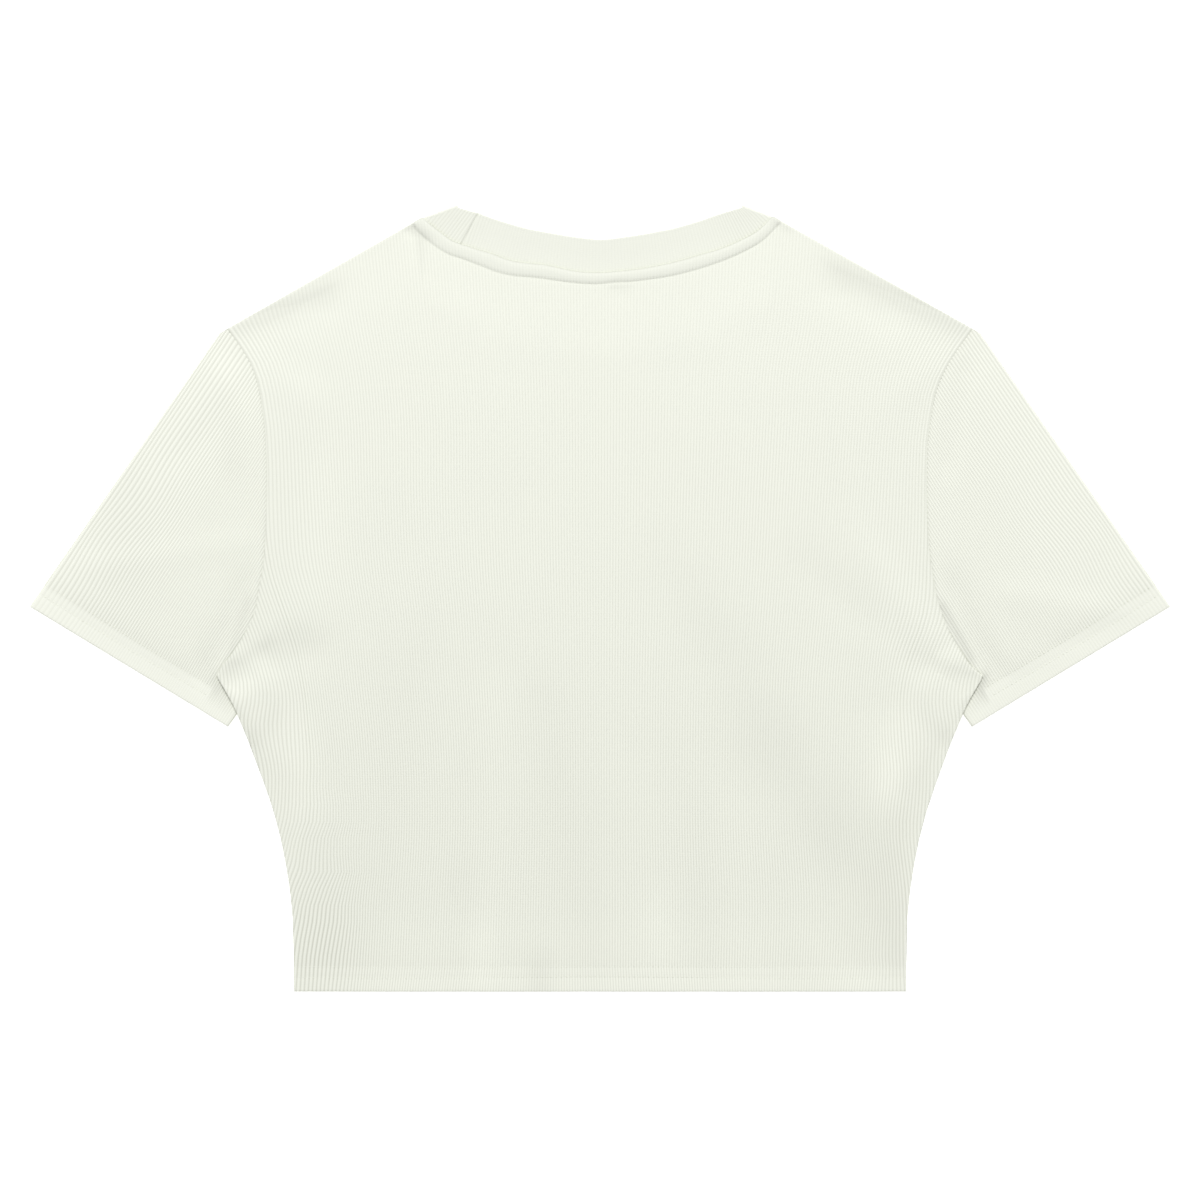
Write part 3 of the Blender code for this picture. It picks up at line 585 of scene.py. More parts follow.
def columnEnds(ribs, topLine):
    # lowest and highest point of each rib: where it meets the hem or side seam, and the armhole, shoulder or neck
    mostRibs = np.full_like(topX, 135.0)
    ribsAtTop = solved(lambda rib: bodyRibX(rib, topLine), topX, -mostRibs, mostRibs, 40)
    onTop = np.interp(ribs, ribsAtTop, topLine)
    low, high = np.empty_like(ribs), np.empty_like(ribs)
    under, over = edgeY <= armpitY, edgeY >= armpitY
    for mine, last in zip((ribs <= 0, ribs > 0), lastRib):
        number = np.abs(ribs[mine])
        onSide = np.interp(number, last[under], edgeY[under])
        low[mine] = np.where(number < last[0], outline["hem"], onSide)
        onArmhole = np.interp(number, last[over][::-1], edgeY[over][::-1])
        high[mine] = np.where(number < last[-1], onTop[mine], onArmhole)
    return low, high


def spreadRows(low, high, lowerOffsets, upperOffsets, heights):
    # each column's rows: offsets from its two ends, and between them fixed heights held clear of both,
    # all drawn together in columns shorter than 60 mm
    squeeze = np.clip((high - low) / 60.0, 0.02, 1.0)
    lower = low + np.array(lowerOffsets)[:, None] * squeeze
    upper = high - upperOffsets[::-1] * squeeze
    step = 0.14 * squeeze
    order = np.arange(len(heights))[:, None]
    middle = np.minimum(heights[:, None], upper[0] - step * (len(heights) - order))
    middle = np.maximum(middle, lower[-1] + step * (order + 1))
    return np.concatenate([lower, middle, upper])


def backHeights(x, y):
    # underside and outer face of the back panel, without its ribs
    side, top, bottom = fromSide(x, y), fromTop(x, y), y - outline["hem"]
    sideReach, topReach, hemReach = back["loftReach"]
    slack = ease(side / sideReach) * (0.5 + 0.5 * ease(top / topReach)) * (0.85 + 0.15 * ease(bottom / hemReach))
    folds = creases(x, y, back["creases"]) * ease(side / 3.5) * ease((top + 1.0) / 4.0)
    under = np.maximum(back["under"] + slack * back["loft"] + folds * 0.9, back["under"])
    # beside the armpit it lies on the tucked corner of the sleeve, and its edge lifts a little more
    tuckX, tuckY, tuckReach, soft = back["tuck"]
    tucked = ease((tuckReach - np.hypot(np.abs(x) - tuckX, y - tuckY)) / soft)
    flapY, flapHalf, flapReach = back["flap"]
    flap = bell(y - flapY, flapHalf) * ease(1 - side / flapReach) * ease((armpitY - y + 2.0) / 8.0)
    under = under + back["tuckLift"] * tucked + back["flapLift"] * flap
    # ridge of the neck seam: up from the band to its crest, then round and down to its foot
    width = np.interp(x, topX, ridgeWidths)
    t = np.clip((np.interp(x, topX, topY) - y) / width, 0.0, 4.0)
    onNeck = ease((width - 0.5) / 3.0)
    across = np.clip(t, 0.0, 1.0)
    crest = back["ridgeCrest"]
    outwards = np.clip((across - crest) / (1 - crest), 0.0, 1.0)
    rounded = 0.78 + 0.11 * ease(across / 0.12) + 0.11 * np.sin(np.pi / 2 * np.minimum(across / crest, 1.0))
    rise = back["ridge"] * (rounded - 0.7 * outwards**2 - 0.3 * (1 - np.sqrt(1 - outwards**2.5)))
    rise = rise * ease((top + 1.0) / 1.2)
    dip = back["valley"] * bell((t - 1.0) * width / 1.1 - 0.2, 0.9)
    seam = onNeck * (rise - dip)
    # front neckband underneath: a small step up at its seam and down again behind its free edge
    seamArc, edgeArc = (np.interp(np.abs(x), *np.array(outline[arc][:6]).T) for arc in ("frontSeam", "frontEdge"))
    stepUp, stepDown = back["imprint"]
    imprint = stepUp * ease((y - seamArc + 1.5) / 3.0) - stepDown * ease((y - edgeArc + 1.5) / 4.0)
    imprint = imprint * ease((back["imprintHalf"] - np.abs(x)) / 14.0) * ease((top - 9.0) / 12.0)
    over = hemmed(under + back["wall"] + seam + imprint, bottom, back)
    # outer edges roll down: narrow at the seams and hem, wider where the panel lies on the sleeve
    liftShare = tucked * ease((y - armpitY + 4.0) / 4.0)
    start = back["edgeShare"] * (1 - liftShare)
    turn = start + (1 - start) * rolled(side, back["edgeRadius"] + back["tuckRadius"] * liftShare)
    plainTop = 1 - onNeck
    turn = turn * (1 - 0.35 * plainTop * (1 - rolled(top, 1.2))) * (1 - 0.35 * (1 - rolled(bottom, 0.5)))
    # at the shoulders and sides the edge reaches down to the front panel
    onEdge = np.maximum(plainTop * ease(1 - top / 1.5), ease(1 - side / 1.5) * ease((armpitY - 8.0 - y) / 6.0))
    under = under - back["edgeDrop"] * onEdge * ease(bottom / 1.5)
    low = under + 0.05
    over = low + (over - low) * turn
    return np.minimum(under, over - 0.2), over, folds, t


def makeBack():
    ribs = bodyRibs()
    low, high = columnEnds(ribs, topY)
    endX = bodyRibX(ribs, high)
    atTop = high > shoulderTipY - 0.01
    steep = np.where(atTop, 1.0, np.clip(np.abs(np.gradient(high, endX)), 1.0, 1.6))
    reach = np.where(atTop, np.maximum(np.interp(endX, topX, ridgeWidths), 7.0), 8.0)
    hemOffsets = (0, .2, .6, 1.4, 3, 5.2, 6.9, 7.8, 8.7, 10.6, 12.6, 13.4, 14.3)
    ridgeShares = np.array([0, .03, .07, .14, .24, .35, .47, .58, .68, .77, .85, .91, .96, 1.0, 1.04, 1.09, 1.17, 1.35])
    upperOffsets = ridgeShares[:, None] * reach * steep
    # rows lie closer together beside the armpits, where the ribs bend most
    heights = np.concatenate([np.linspace(*stretch) for stretch in ((-196, -104, 11), (-97, -18, 15), (-9, 172, 22))])
    y = spreadRows(low, high, hemOffsets, upperOffsets, heights)
    x = bodyRibX(ribs, y)
    # the ribs wander sideways, but not at the seams
    x = x + waves(x, y, back["waves"]) * (ease(fromSide(x, y) / 6.0) * ease(fromTop(x, y) / 14.0))
    bottom = y - outline["hem"]
    # the hem's two sewn lines kink the ribs a little
    shift, length, phase = back["hemLean"]
    lean = shift * np.sin(x / length + phase) * np.clip(back["hemRows"][1] - bottom, 0.0, 14.0) / 6.0
    x = x + lean * ease(fromSide(x, y) / 12.0)
    under, over, folds, t = backHeights(x, y)
    faint = 1 - back["hemFaint"] * ease(back["hemRows"][1] - bottom)
    onNeck = np.interp(x, topX, ridgeWidths) > 1.0
    faint = faint * np.where(onNeck, 0.2 + 0.5 * ease(t / 0.5) + 0.3 * ease((t - 0.8) / 0.3), 1.0)
    atRim = 0.3 - 0.3 * bell(y - back["besideArmpit"], 14.0)
    relief = back["ribHeight"] * ribShape(ribs) * faint * rolled(fromSide(x, y) + atRim, 1.2)
    # the ridge's foot is drawn in at every groove
    foot = np.where(onNeck, bell(t - 0.97, 0.10), 0.0)
    relief = relief - 0.25 * foot * (1 - ribShape(ribs))
    # painted shade: the ridge is shaded where it meets the band, a little on the whole of its upper side, and at its
    # foot; crease hollows are painted darker and crease ridges lighter, and the listed shades are painted in
    besideBand, onUpper, atFoot = back["ridgeShade"]
    shade = atFoot * np.where(onNeck, bell(t - 1.02, 0.07), 0.0) - folds + creases(x, y, back["shades"])
    onRidge = besideBand * (1 - ease(t / 0.12)) + onUpper * (1 - ease((t - 0.35) / 0.4))
    shade = shade + np.where(onNeck, onRidge, 0.0)
    # painted shade along the armhole seam, darkest beside the armpit
    armhole = back["seamShade"] * ease((y - armpitY) / 5.0)
    armhole = armhole + back["armpitShade"] * bell(y - back["besideArmpit"], 10.0)
    shade = shade + armhole * bell(fromSide(x, y), 0.9)
    # painted light along the hem
    shade = shade - back["hemLight"] * ease((18.0 - bottom) / 8.0)
    # how dark the grooves are painted, as painted shade: least at the top, most where the ribs are pulled apart beside
    # the hem
    spread = sum(share * bell(x - cx, wide) * bell(y - cy, high) for cx, cy, wide, high, share in back["openRibs"])
    grooveShade = back["grooveShade"] + back["grooveBelow"] * ease((60.0 - y) / 200.0)
    grooveShade = grooveShade + back["grooveAbove"] * ease((y - 60.0) / 120.0) + spread
    grooveShade = grooveShade * np.where(onNeck & (t < 1.05), 0.5, 1.0)
    outer, inner = joined(x, y, over + relief), joined(x, y, under)
    piece = wallPiece("backPanel", outer, joined(ribs, y), shade, grooveShade, inner, 8, 4, backKnit)
    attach(piece, "root")
    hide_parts("back")
    return piece


backPanel = makeBack()
print("back panel made,", len(backPanel.data.polygons), "faces")


# front panel, underneath
front = {
    "wall": 1.15,
    "ribHeight": 0.25,
    "inset": 1.0,  # how far its edge lies inside the back panel's, and how much more beside the armpit
    "armpitInset": 10.0,
    "edgeLift": 0.85,  # how far its lower edge rolls up
}


def makeFront():
    # its ribs are the back panel's without their waves, and it ends lower at the neck
    ribs = bodyRibs()
    seamRows = np.array(outline["frontSeam"][:7])
    neckline = np.interp(np.abs(topX), seamRows[:, 0], seamRows[:, 1]) - 0.6
    low, high = columnEnds(ribs, np.where(np.abs(topX) < 98.9, np.minimum(topY, neckline), topY))
    offsets = np.array([0, .2, .6, 1.2, 2.2, 4.0])
    y = spreadRows(low, high, offsets, offsets[:, None] * 1.4, np.linspace(-208.0, 196.0, 44))
    x = bodyRibX(ribs, y)
    side, bottom = fromSide(x, y), y - outline["hem"]
    # beside the armpit the edge keeps clear of the sleeve that is tucked in there
    inset = front["inset"] + front["armpitInset"] * bell(y - armpitY + 8.0, 17.0)
    x = x - np.sign(x) * inset * ease(1 - side / 30.0)
    edge = np.minimum(np.minimum(rolled(side, 1.6), rolled(bottom, 0.8)), rolled(high - y, 1.2))
    lowest = front["edgeLift"] * (1 - edge) + front["ribHeight"] - front["ribHeight"] * ribShape(ribs) * edge
    outer, inner = joined(x, y, lowest), joined(x, y, front["wall"])
    # its grooves are painted darker, as the back's are: painted shade
    piece = wallPiece("frontPanel", outer, joined(ribs, y), 0.0, back["grooveShade"], inner, 8, 3, frontKnit)
    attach(piece, "root")
    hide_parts("front")
    return piece


frontPanel = makeFront()
print("front panel made")


# sleeves
sleeve = {
    "length": 182.1,
    "width": 127.2,
    "drop": math.radians(55.15),
    "slant": 8.1,
    "corner": (208.6, 144.9),
    "half": 1.35,  # half the height of the flattened tube
    "wall": 1.0,
    "ribs": 77,  # on each layer
    "ribHeight": 0.36,
    "loft": 0.9,
    "seamShade": 2.6,
    "hemGroove": 0.6,  # how much lighter the grooves are painted on the hem
    "hemRows": (8.6, 14.6),
    "hemStep": 0.07,
    "hemSink": 0.08,
    "hemCurl": (0.12, 10.0),
    "hemFaint": 0.7,
    "underLap": (0.25, 1.3),  # how far it ends beneath the body's edge, and how much more above the armpit
    # where the underarm ends below the body's edge: (along the sleeve from its hem, across it)
    "tuck": ((28.0, 109.7), (27.4, 116.2), (25.2, 122.8), (21.9, 127.2)),
    "foldReach": 17.0,  # how far from the fold the second share of the gather reaches
    # what differs, left (-1) and right (1):
    # gather: how much closer the ribs are at the shoulder than at the hem, in all and beside the fold
    # places: of the ribs, as (share of the ribs, share of the width from the fold)
    # creases, and painted shades, which are painted light where the depth is negative: (x and y of one end, x and y of
    # the other, half width, height or depth)
    # waves: of the ribs, as (across, half width, along, half length, wave length, shift, phase)
    # groove, shade and hemShade: painted shade in the grooves, over the whole upper layer and on the hem
    -1: {
        "grooveShade": 0.60,
        "shade": 0.0,
        "hemShade": 0.0,
        "gather": (0.14, 0.42),
        "places": (
            (0, 0), (0.153, 0.236), (0.218, 0.314), (0.292, 0.393), (0.375, 0.472),
            (0.46, 0.55), (0.549, 0.629), (0.643, 0.708), (0.738, 0.786), (1, 1),
        ),
        "creases": ((-275, 18, -200, 30, 8, 0.4), (-200, 110, -226, 81, 8, -0.5), (-214, -36, -196, 4, 8, -0.7)),
        "shades": (
            (-193, -3, -203, -33, 3, 3), (-209, -46, -200, -62, 3.2, 5), (-212, -38, -207, -50, 7, 1.5),
            (-204, 126, -197, 118, 8, -1.2), (-263, 56, -263, 20, 20, 1.2), (-201, 96, -201, 76, 7, 1.2),
        ),
        "waves": ((22, 20, 60, 45, 75, -1.7, 2.35), (95, 20, 60, 40, 60, 0.5, 1)),
    },
    1: {
        "grooveShade": 0.46,
        "shade": 0.9,
        "hemShade": 0.4,
        "gather": (0.10, 0.05),
        "places": (
            (0, 0), (0.188, 0.236), (0.257, 0.314), (0.333, 0.393), (0.416, 0.472),
            (0.5, 0.55), (0.588, 0.629), (0.675, 0.708), (0.77, 0.786), (1, 1),
        ),
        "creases": (
            (229, 2, 292, -10, 8, 0.5), (200, 122, 191, 78, 7, -0.6),
            (240, -22, 285, -28, 8, -0.3), (214, -36, 196, 4, 8, -0.7),
        ),
        "shades": (
            (188, -5, 203, -33, 2.6, 6), (209, -45, 201, -61, 2.8, 6), (210, -44, 208, -48, 3, 4),
        ),
        "waves": ((24, 22, 45, 34, 80, -2.1, 0.47), (42, 16, 100, 26, 70, -0.8, 0)),
    },
}


def sleevePlan(along, across, side):
    # place on the floor of a point given along the sleeve from its hem and across it from its fold
    rest = sleeve["length"] - along
    out = rest * math.cos(sleeve["drop"]) - across * math.sin(sleeve["drop"])
    down = rest * math.sin(sleeve["drop"]) + across * math.cos(sleeve["drop"])
    return side * (sleeve["corner"][0] + out), sleeve["corner"][1] - down


def sleeveEnd(side):
    # where the sleeve stops, just inside the body's edge: along it, for each distance across it
    y = np.linspace(shoulderTipY, armpitY, 200)
    lap, more = sleeve["underLap"]
    out = edgeAt(np.full_like(y, side), y) - lap - more * bell(y + 26.0, 12.0) - sleeve["corner"][0]
    down = sleeve["corner"][1] - y
    c, s = math.cos(sleeve["drop"]), math.sin(sleeve["drop"])
    along = sleeve["length"] - out * c - down * s
    across = down * c - out * s
    tuckAlong, tuckAcross = np.array(sleeve["tuck"]).T
    along = np.concatenate([[sleeve["length"]], along, tuckAlong])
    across = np.concatenate([[0.0], across, tuckAcross])
    across = np.maximum.accumulate(across + 1e-6 * np.arange(len(across)))
    return along, across


def tubeAcross(w):
    # the flattened tube's section: distance across it, and its outward direction (sideways, up), at w round it
    half, width = sleeve["half"], sleeve["width"]
    quarter = np.pi / 2 * half
    layer = width - 2 * half + 2 * quarter
    around = (w + layer) % (2 * layer) - layer  # positive over the top, negative beneath
    fromFold = np.abs(around)
    near = np.minimum(fromFold, quarter) / half
    far = np.minimum(layer - fromFold, quarter) / half
    flat = np.clip(fromFold - quarter, 0.0, width - 2 * half)
    across = half * (1 - np.cos(near)) + flat + half * np.cos(far)
    lean = np.minimum(near, far)
    up = np.where(around >= 0, 1.0, -1.0) * np.sin(lean)
    sideways = np.where(fromFold < layer / 2, -1.0, 1.0) * np.cos(lean)
    return across, sideways, up


def sleeveRise(along, across, side):
    # how far the upper layer stands above the flat tube: slack, creases, hem
    x, y = sleevePlan(along, across, side)
    fromHem = along - sleeve["slant"] * across / sleeve["width"]
    level = np.clip(y, outline["hem"], shoulderTipY - 0.5)
    outside = np.where(y > shoulderTipY - 0.5, 9.0, -fromSide(x, level))
    folds = creases(x, y, sleeve[side]["creases"]) * ease(outside / 8.0) * ease(fromHem / 16.0)
    slack = (1 - np.clip(2 * across / sleeve["width"] - 1, -1, 1) ** 6) * ease(fromHem / 26.0) * ease(outside / 22.0)
    return hemmed(np.maximum(slack * sleeve["loft"] + folds, -0.3), fromHem, sleeve), folds, fromHem, outside


def makeSleeve(name, side, material, nodeName):
    # a flattened tube: w runs round it, from its fold over the top to the underarm and back beneath
    mine, half, width, length = sleeve[side], sleeve["half"], sleeve["width"], sleeve["length"]
    layer = width - 2 * half + np.pi * half
    ribs = np.arange(0.0, 2 * sleeve["ribs"], 0.25)
    share = ribs / sleeve["ribs"]
    onTop = share < 1
    base = layer * np.where(onTop, through(mine["places"], np.minimum(share, 1.0)), share)
    endAlong, endAcross = sleeveEnd(side)
    gather, byFold = mine["gather"]

    def placed(along):
        # the upper ribs draw together towards the shoulder, most beside the fold, and wander sideways
        drawn = base * along / length * (gather * (1 - (base / layer) ** 6) + byFold * bell(base, sleeve["foldReach"]))
        w = base - np.where(onTop, drawn, 0.0)
        return w + np.where(onTop, waves(w, along, mine["waves"]) * ease(w / 9.0) * ease((layer - w) / 9.0), 0.0)

    end = np.full_like(base, 120.0)
    for _ in range(8):
        end = np.interp(np.clip(tubeAcross(placed(end))[0], 0.0, width), endAcross, endAlong)
    start = sleeve["slant"] * tubeAcross(base)[0] / width
    slope = np.clip(np.abs(np.gradient(end)) / np.maximum(np.abs(np.gradient(tubeAcross(base)[0])), 0.05), 0.0, 1.4)
    hemOffsets = (0, .2, .6, 1.4, 3, 5.6, 7.7, 8.6, 9.5, 11.6, 13.7, 14.6, 15.5)
    endOffsets = np.array([0, .25, .6, 1.2, 2.2, 4.0])[:, None] * np.hypot(1.0, slope)
    along = spreadRows(start, end, hemOffsets, endOffsets, np.linspace(24.0, 178.0, 52))
    w = placed(along)
    c, sideways, up = tubeAcross(w)
    rise, folds, fromHem, outside = sleeveRise(along, np.clip(c, 0.0, width), side)
    oyPlain = sleevePlan(along, c, side)[1]
    above = ease(up / 0.9)
    z = half * (1 + up) + above * rise
    # narrow rounding at the hem and at the armhole
    rim = 0.72 + 0.28 * rolled(fromHem, 0.6)
    z = half + (z - half) * rim
    beneath = 0.4 * ease(-outside - 0.2) * ease((oyPlain - armpitY) / 4.0)
    z = np.where(up > 0, half + (z - half) * (0.8 + 0.2 * rolled(outside, 0.6) - beneath), z)
    relief = sleeve["ribHeight"] * ribShape(ribs) * (1 - sleeve["hemFaint"] * ease(sleeve["hemRows"][1] - fromHem))
    ox, oy = sleevePlan(along, np.clip(c + sideways * (relief - 0.2) * 0.6, -0.2, width + 0.2), side)
    lowered = np.where(up < 0, sleeve["ribHeight"] * np.abs(up), 0.0)
    outer = joined(ox, oy, np.maximum(z + up * relief + lowered, 0.0))
    thin = np.minimum(sleeve["wall"], 0.8 * np.abs(z - half) + 0.15)
    ix, iy = sleevePlan(along, np.clip(c, 1.0, width - 1.0), side)
    inner = joined(ix, iy, z - up * thin)
    # painted shade on the upper layer only: the grooves, the listed shades, the armhole seam and the crease hollows are
    # painted darker, and the crease ridges lighter
    onHem = ease((sleeve["hemRows"][1] - fromHem) / 2.0)
    grooveShade = mine["grooveShade"] * (1 - sleeve["hemGroove"] * onHem)
    shade = mine["shade"] + mine["hemShade"] * onHem + creases(ox, oy, mine["shades"])
    shade = (shade + sleeve["seamShade"] * bell(outside, 0.9) * ease((oy - armpitY) / 5.0) - folds) * above
    piece = wallPiece(name, outer, joined(ribs, along), shade, grooveShade, inner, 8, 4, material, ring=True)
    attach(piece, "root")
    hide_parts(nodeName)
    return piece


sleeveLeft = makeSleeve("sleeveLeft", -1, leftKnit, "sleeve_left")
sleeveRight = makeSleeve("sleeveRight", 1, rightKnit, "sleeve_right")
print("sleeves made,", len(sleeveLeft.data.polygons), "faces each")


# neckband
band = {
    "wall": 1.8,
    "height": 17.0,
    "backLength": 202.0,
    "ribPitch": 1.81,
    "ribHeight": 0.16,
    "grooveShade": 0.12,
    "grooveAtFolds": 0.2,
    "shade": 1.8,
    "edgeShade": 5.0,
    "joinShade": 4.0,
    "middle": (1.35, 0.30),  # height of the plane between its halves, and how much higher it is at the outer face
    "fromMiddle": (0.15, 1.5),  # inner face's distance from that plane, and the outer face's distance from it
    "tilt": 0.6,  # how much higher its free edge stands than its seam
    "sag": 0.6,
    "join": 0.1226,  # share of the back seam, from the left fold, where its ends are joined
    "joinDepth": 0.55,
    # which share of the free edge stands over which share of the seam
    "edgeShares": (
        (0, 0), (0.06, 0.022), (0.1226, 0.07), (0.2, 0.16), (0.5, 0.5),
        (0.8, 0.84), (0.8774, 0.93), (0.94, 0.978), (1, 1),
    ),
    # section: (share across the band, share from its inner to its outer face)
    "section": (
        (-0.03, 0.3), (-0.03, 0.66), (0, 0.8), (0.04, 0.87), (0.12, 0.91), (0.2, 0.92), (0.32, 0.93), (0.46, 0.95),
        (0.6, 0.975), (0.72, 0.995), (0.82, 1), (0.9, 0.99), (0.95, 0.94), (0.985, 0.8), (1, 0.55),
        (0.99, 0.22), (0.95, 0.08), (0.88, 0), (0.7, 0), (0.45, 0), (0.2, 0), (0.05, 0.05),
    ),
    # slope of the back seam, which the ribs stand square to: (x, slope)
    "seamSlopes": (
        (-97, -0.8), (-77.5, -0.72), (-76.5, -0.36), (-60, -0.33), (-40, -0.16), (0, 0),
        (40, 0.16), (60, 0.27), (75, 0.45), (85, 0.62), (94, 1),
    ),
}


def alongLine(rows, shares):
    # points at the given shares of a smooth line's length
    x = np.linspace(rows[0][0], rows[-1][0], 3000)
    y = through(rows, x)
    length = lengthAlong(joined(x, y))
    at = shares * length[-1]
    return joined(np.interp(at, length, x), np.interp(at, length, y)), at


def mirrored(rows):
    # the whole line from its half, which is given from the middle outwards
    return [(-x, y) for x, y in rows[:0:-1]] + list(rows)


def makeBand():
    # a ring of doubled cloth: u runs round the neck, t across the band from its seam to its free edge
    radius = (back["under"] + band["wall"]) / 2
    count = int(round(band["backLength"] / band["ribPitch"])) * 4
    shares = np.linspace(0.0, 1.0, count + 1)
    edgeShares = through(band["edgeShares"], shares)
    ends = {}
    for side, seamEnd in ((-1, outline["neckSeam"][0]), (1, outline["neckSeam"][-1])):
        corner = np.array([side * outline["backEdge"][-1][0], outline["backEdge"][-1][1]])
        fold = np.array(seamEnd) - corner
        outward = np.array([-fold[1], fold[0]]) * side / np.hypot(*fold)
        ends[side] = (np.array(seamEnd) - outward * radius, corner - outward * radius, outward)
    # where the two halves are sewn on, with the folds' own thickness taken off at the ends
    backSeamRows = [tuple(ends[-1][0])] + list(outline["neckSeam"][1:-1]) + [tuple(ends[1][0])]
    backEdgeRows = mirrored(outline["backEdge"])
    backEdgeRows[0], backEdgeRows[-1] = tuple(ends[-1][1]), tuple(ends[1][1])
    seam, seamLength = alongLine(backSeamRows, shares)
    edge, _ = alongLine(backEdgeRows, edgeShares)

    def frontHalf(name, which):
        # the front's lines turn back on themselves, so they are followed by length on each side
        right = np.array(outline[name])
        left = right * (-1, 1)
        left[-1], right[-1] = ends[-1][which], ends[1][which]
        line = np.concatenate([left[::-1], right[1:]])
        steps = lengthAlong(line)
        at = shares * steps[-1]
        return joined(*(through(joined(steps, column), at) for column in line.T)), at

    frontSeam, frontLength = frontHalf("frontSeam", 0)
    frontEdge, _ = frontHalf("frontEdge", 1)

    def ring(*parts):
        # back half, right fold, front half and left fold, one after the other
        return np.concatenate(parts)

    turns = np.linspace(0.0, np.pi, 12)[1:-1]
    ones, zero = np.ones((len(turns), 1)), np.zeros(count + 1)
    seamRing = ring(seam, ones * seam[-1], frontSeam[::-1], ones * seam[0])
    edgeRing = ring(edge, ones * edge[-1], frontEdge[::-1], ones * edge[0])
    push = ring(0 * seam, ones * ends[1][2], 0 * seam, ones * ends[-1][2])
    angle = ring(zero, turns, zero + np.pi, turns[::-1])
    turnRibs = turns * radius / band["ribPitch"]
    backRibs, frontRibs = seamLength / band["ribPitch"], frontLength / band["ribPitch"]
    lengthRibs = ring(backRibs, backRibs[-1] + turnRibs, frontRibs, frontRibs[-1] + turnRibs)
    onBack = ring(1 - np.abs(2 * shares - 1) ** 4, 0 * turns, zero, 0 * turns)
    t, f = np.array(band["section"]).T[:, :, None]
    # ribs of the back half stand square to the seam: rib = (length + offset along the seam) / pitch
    slope = np.interp(seamRing[:, 0], *np.array(band["seamSlopes"]).T)
    tangent = joined(1.0, slope) / np.hypot(1.0, slope)[:, None]
    offset = ((edgeRing - seamRing) * tangent).sum(axis=1)
    leans = ring(zero + 1, 1 - turns / np.pi, zero, 1 - turns[::-1] / np.pi)
    ribs = lengthRibs + leans * offset * t / band["ribPitch"]
    outerFace = ease((f - 0.45) / 0.35) * ease((1.0 - t) / 0.05)
    joinGap = bell(np.arange(len(angle)) - band["join"] * count, 1.1)
    lift = band["ribHeight"] * ribShape(ribs) * (1 - joinGap) - band["joinDepth"] * joinGap
    height = f + outerFace * lift / band["wall"]
    sag = band["sag"] * (0.6 + 0.4 * t) * onBack
    (middle, rise), (inner, thick) = band["middle"], band["fromMiddle"]
    reach = inner + thick * height
    z = middle + rise * height + reach * np.cos(angle) - sag + band["tilt"] * t**2 * onBack
    xy = seamRing[None] + (edgeRing - seamRing)[None] * t[:, :, None] + push[None] * (reach * np.sin(angle))[:, :, None]
    points = np.concatenate([xy, np.maximum(z, 0.0)[:, :, None]], axis=-1)
    index = np.arange(z.size).reshape(z.shape)
    index = np.column_stack([index, index[:, 0]])
    index = np.concatenate([index, index[:1]])
    uv = joined(ribs, t * band["height"]).reshape(-1, 2)
    shade = band["joinShade"] * joinGap + (band["shade"] + band["edgeShade"] * ease((t - 0.86) / 0.12)) * outerFace
    # its grooves are painted darker towards the two folds: painted shade
    ringShare = ring(shares, 0 * turns + 1, zero + 0.5, 0 * turns)
    grooveShade = band["grooveShade"] + band["grooveAtFolds"] * ease((np.abs(ringShare - 0.5) - 0.3) / 0.12)
    grooveShade = np.broadcast_to(grooveShade, z.shape).ravel()
    piece = newPiece("neckRib", points.reshape(-1, 3), [gridQuads(index)], uv, shade.ravel(), grooveShade, bandKnit)
    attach(piece, "root")
    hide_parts("neckband")
    return piece


neckband = makeBand()
print("neckband made")


# sewing threads
thread = {
    "length": 2.1,
    "gap": 0.55,
    "radius": 0.12,
    "sink": 0.30,  # how much lower a stitch's ends are than its middle
    "bodyLift": 0.28,
    "sleeveLifts": (0.20, 0.34),
    "wander": 0.5,
}

hemX = np.linspace(-outline["hemHalf"] + 2.0, outline["hemHalf"] - 2.0, 500)
hemLines = []
for row in back["hemRows"]:
    hemY = outline["hem"] + row + thread["wander"] * np.sin(hemX / 37.0 + row)
    hemLines.append(joined(hemX, hemY, backHeights(hemX, hemY)[1] + thread["bodyLift"]))
hemStitches = stitchPiece("hemStitches", [stitchRow(line, thread) for line in hemLines], threadKnit)
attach(hemStitches, "root")


def sleeveStitches(name, side):
    # two rows of stitches round the sleeve's hem on its upper layer
    across = np.linspace(3.0, 108.0, 260)
    rows = []
    for row, lift in zip(sleeve["hemRows"], thread["sleeveLifts"]):
        fromHem = row + thread["wander"] * np.sin(across / 23.0 + row)
        along = fromHem + sleeve["slant"] * across / sleeve["width"]
        x, y = sleevePlan(along, across, side)
        z = 2 * sleeve["half"] + sleeveRise(along, across, side)[0] + lift
        rows.append(stitchRow(joined(x, y, z), thread))
    piece = stitchPiece(name, rows, threadKnit)
    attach(piece, "root")
    return piece


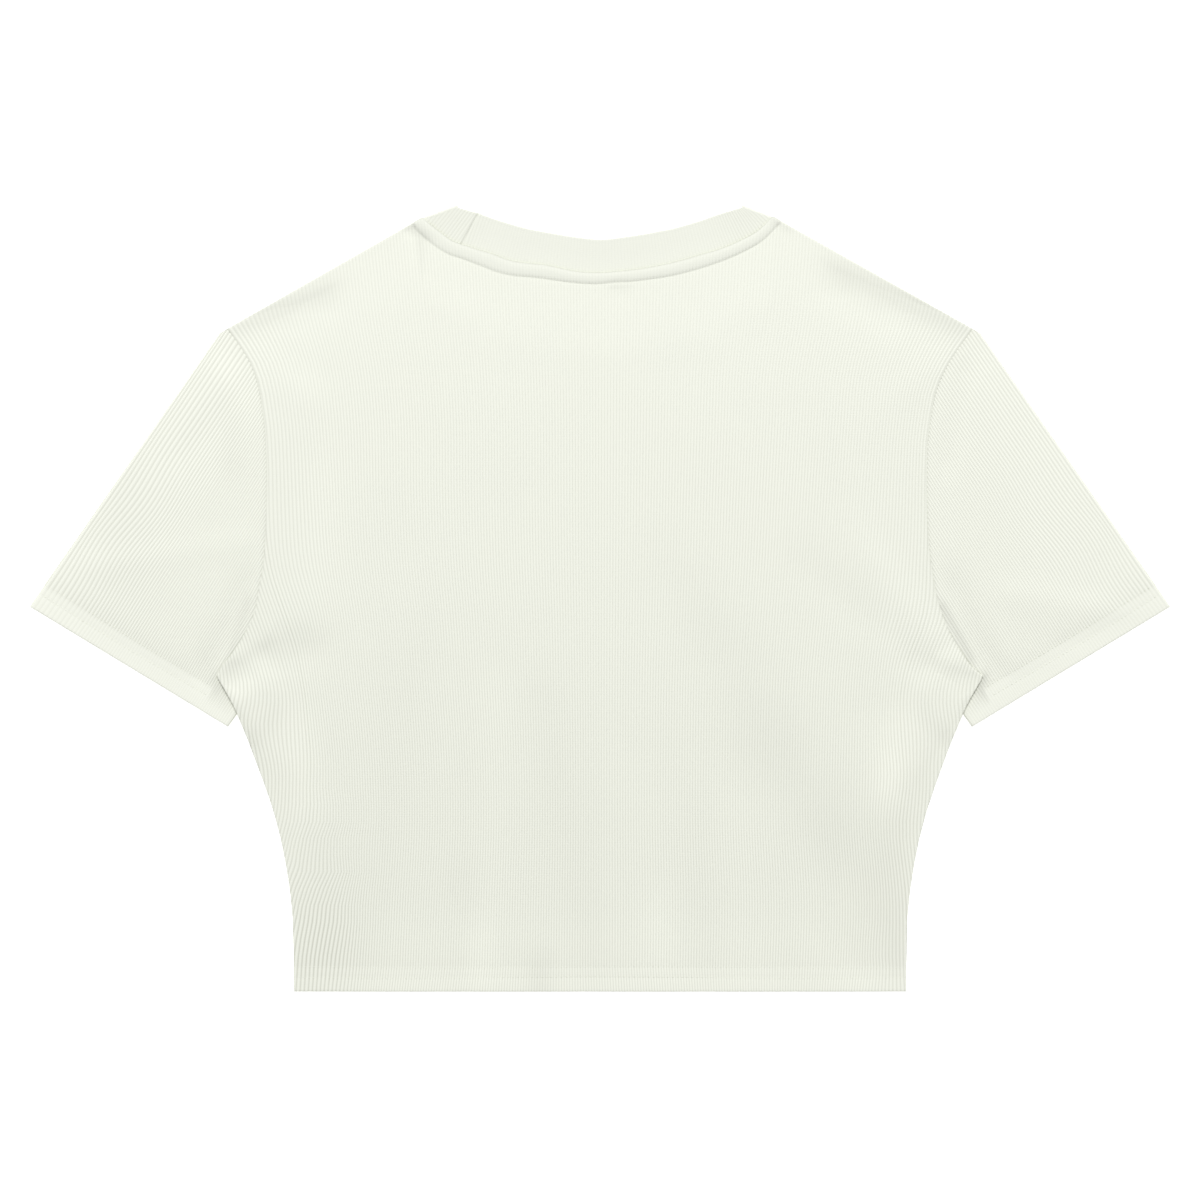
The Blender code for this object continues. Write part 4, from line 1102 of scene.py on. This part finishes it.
leftStitches = sleeveStitches("sleeveLeftStitches", -1)
rightStitches = sleeveStitches("sleeveRightStitches", 1)
print("threads made")


# floor, light and camera
studio = {
    "floorSize": 8.0,
    "floorColour": 0.95,
    "floorRoughness": 0.9,
    "floorGlow": 0.5,
    "sky": 0.60,
    "keyPower": 106.0,
    "keySize": 1.8,
    "keyPlace": (0.0, 2.6, 2.9),
    "cameraPlace": (0.0, -0.0011, 2.5),
    "viewWidth": 0.6579,  # what the picture shows of the floor
    "sensor": 36.0,
}


def makeFloor():
    half = studio["floorSize"] / 2
    mesh = bpy.data.meshes.new("floor")
    mesh.from_pydata([(-half, -half, 0), (half, -half, 0), (half, half, 0), (-half, half, 0)], [], [(0, 1, 2, 3)])
    material = bpy.data.materials.new("whiteFloor")
    material.use_nodes = True
    fill(material.node_tree, material.node_tree.nodes["Principled BSDF"], {
        "Base Color": (*[studio["floorColour"]] * 3, 1.0),
        "Roughness": studio["floorRoughness"],
        "Specular IOR Level": 0.0,
        "Emission Color": (1.0, 1.0, 1.0, 1.0),
        "Emission Strength": studio["floorGlow"],
    })
    mesh.materials.append(material)
    inScene("floor", mesh)


def makeLights():
    world = bpy.data.worlds.new("studio")
    bpy.context.scene.world = world
    world.use_nodes = True
    backdrop = {"Color": (1.0, 1.0, 1.0, 1.0), "Strength": studio["sky"]}
    fill(world.node_tree, world.node_tree.nodes["Background"], backdrop)
    data = bpy.data.lights.new("softbox", "AREA")
    data.size = studio["keySize"]
    data.energy = studio["keyPower"]
    light = inScene("softbox", data)
    x, y, z = studio["keyPlace"]
    light.location = (x, y, z)
    light.rotation_euler = (-math.atan2(y, z), 0.0, 0.0)


def makeCamera():
    # straight above
    data = bpy.data.cameras.new("overhead")
    data.sensor_width = studio["sensor"]
    data.lens = studio["sensor"] * studio["cameraPlace"][2] / studio["viewWidth"]
    camera = inScene("overhead", data)
    camera.location = studio["cameraPlace"]
    bpy.context.scene.camera = camera


makeFloor()
makeLights()
makeCamera()
bpy.context.scene.view_settings.view_transform = "Standard"
print("studio made")
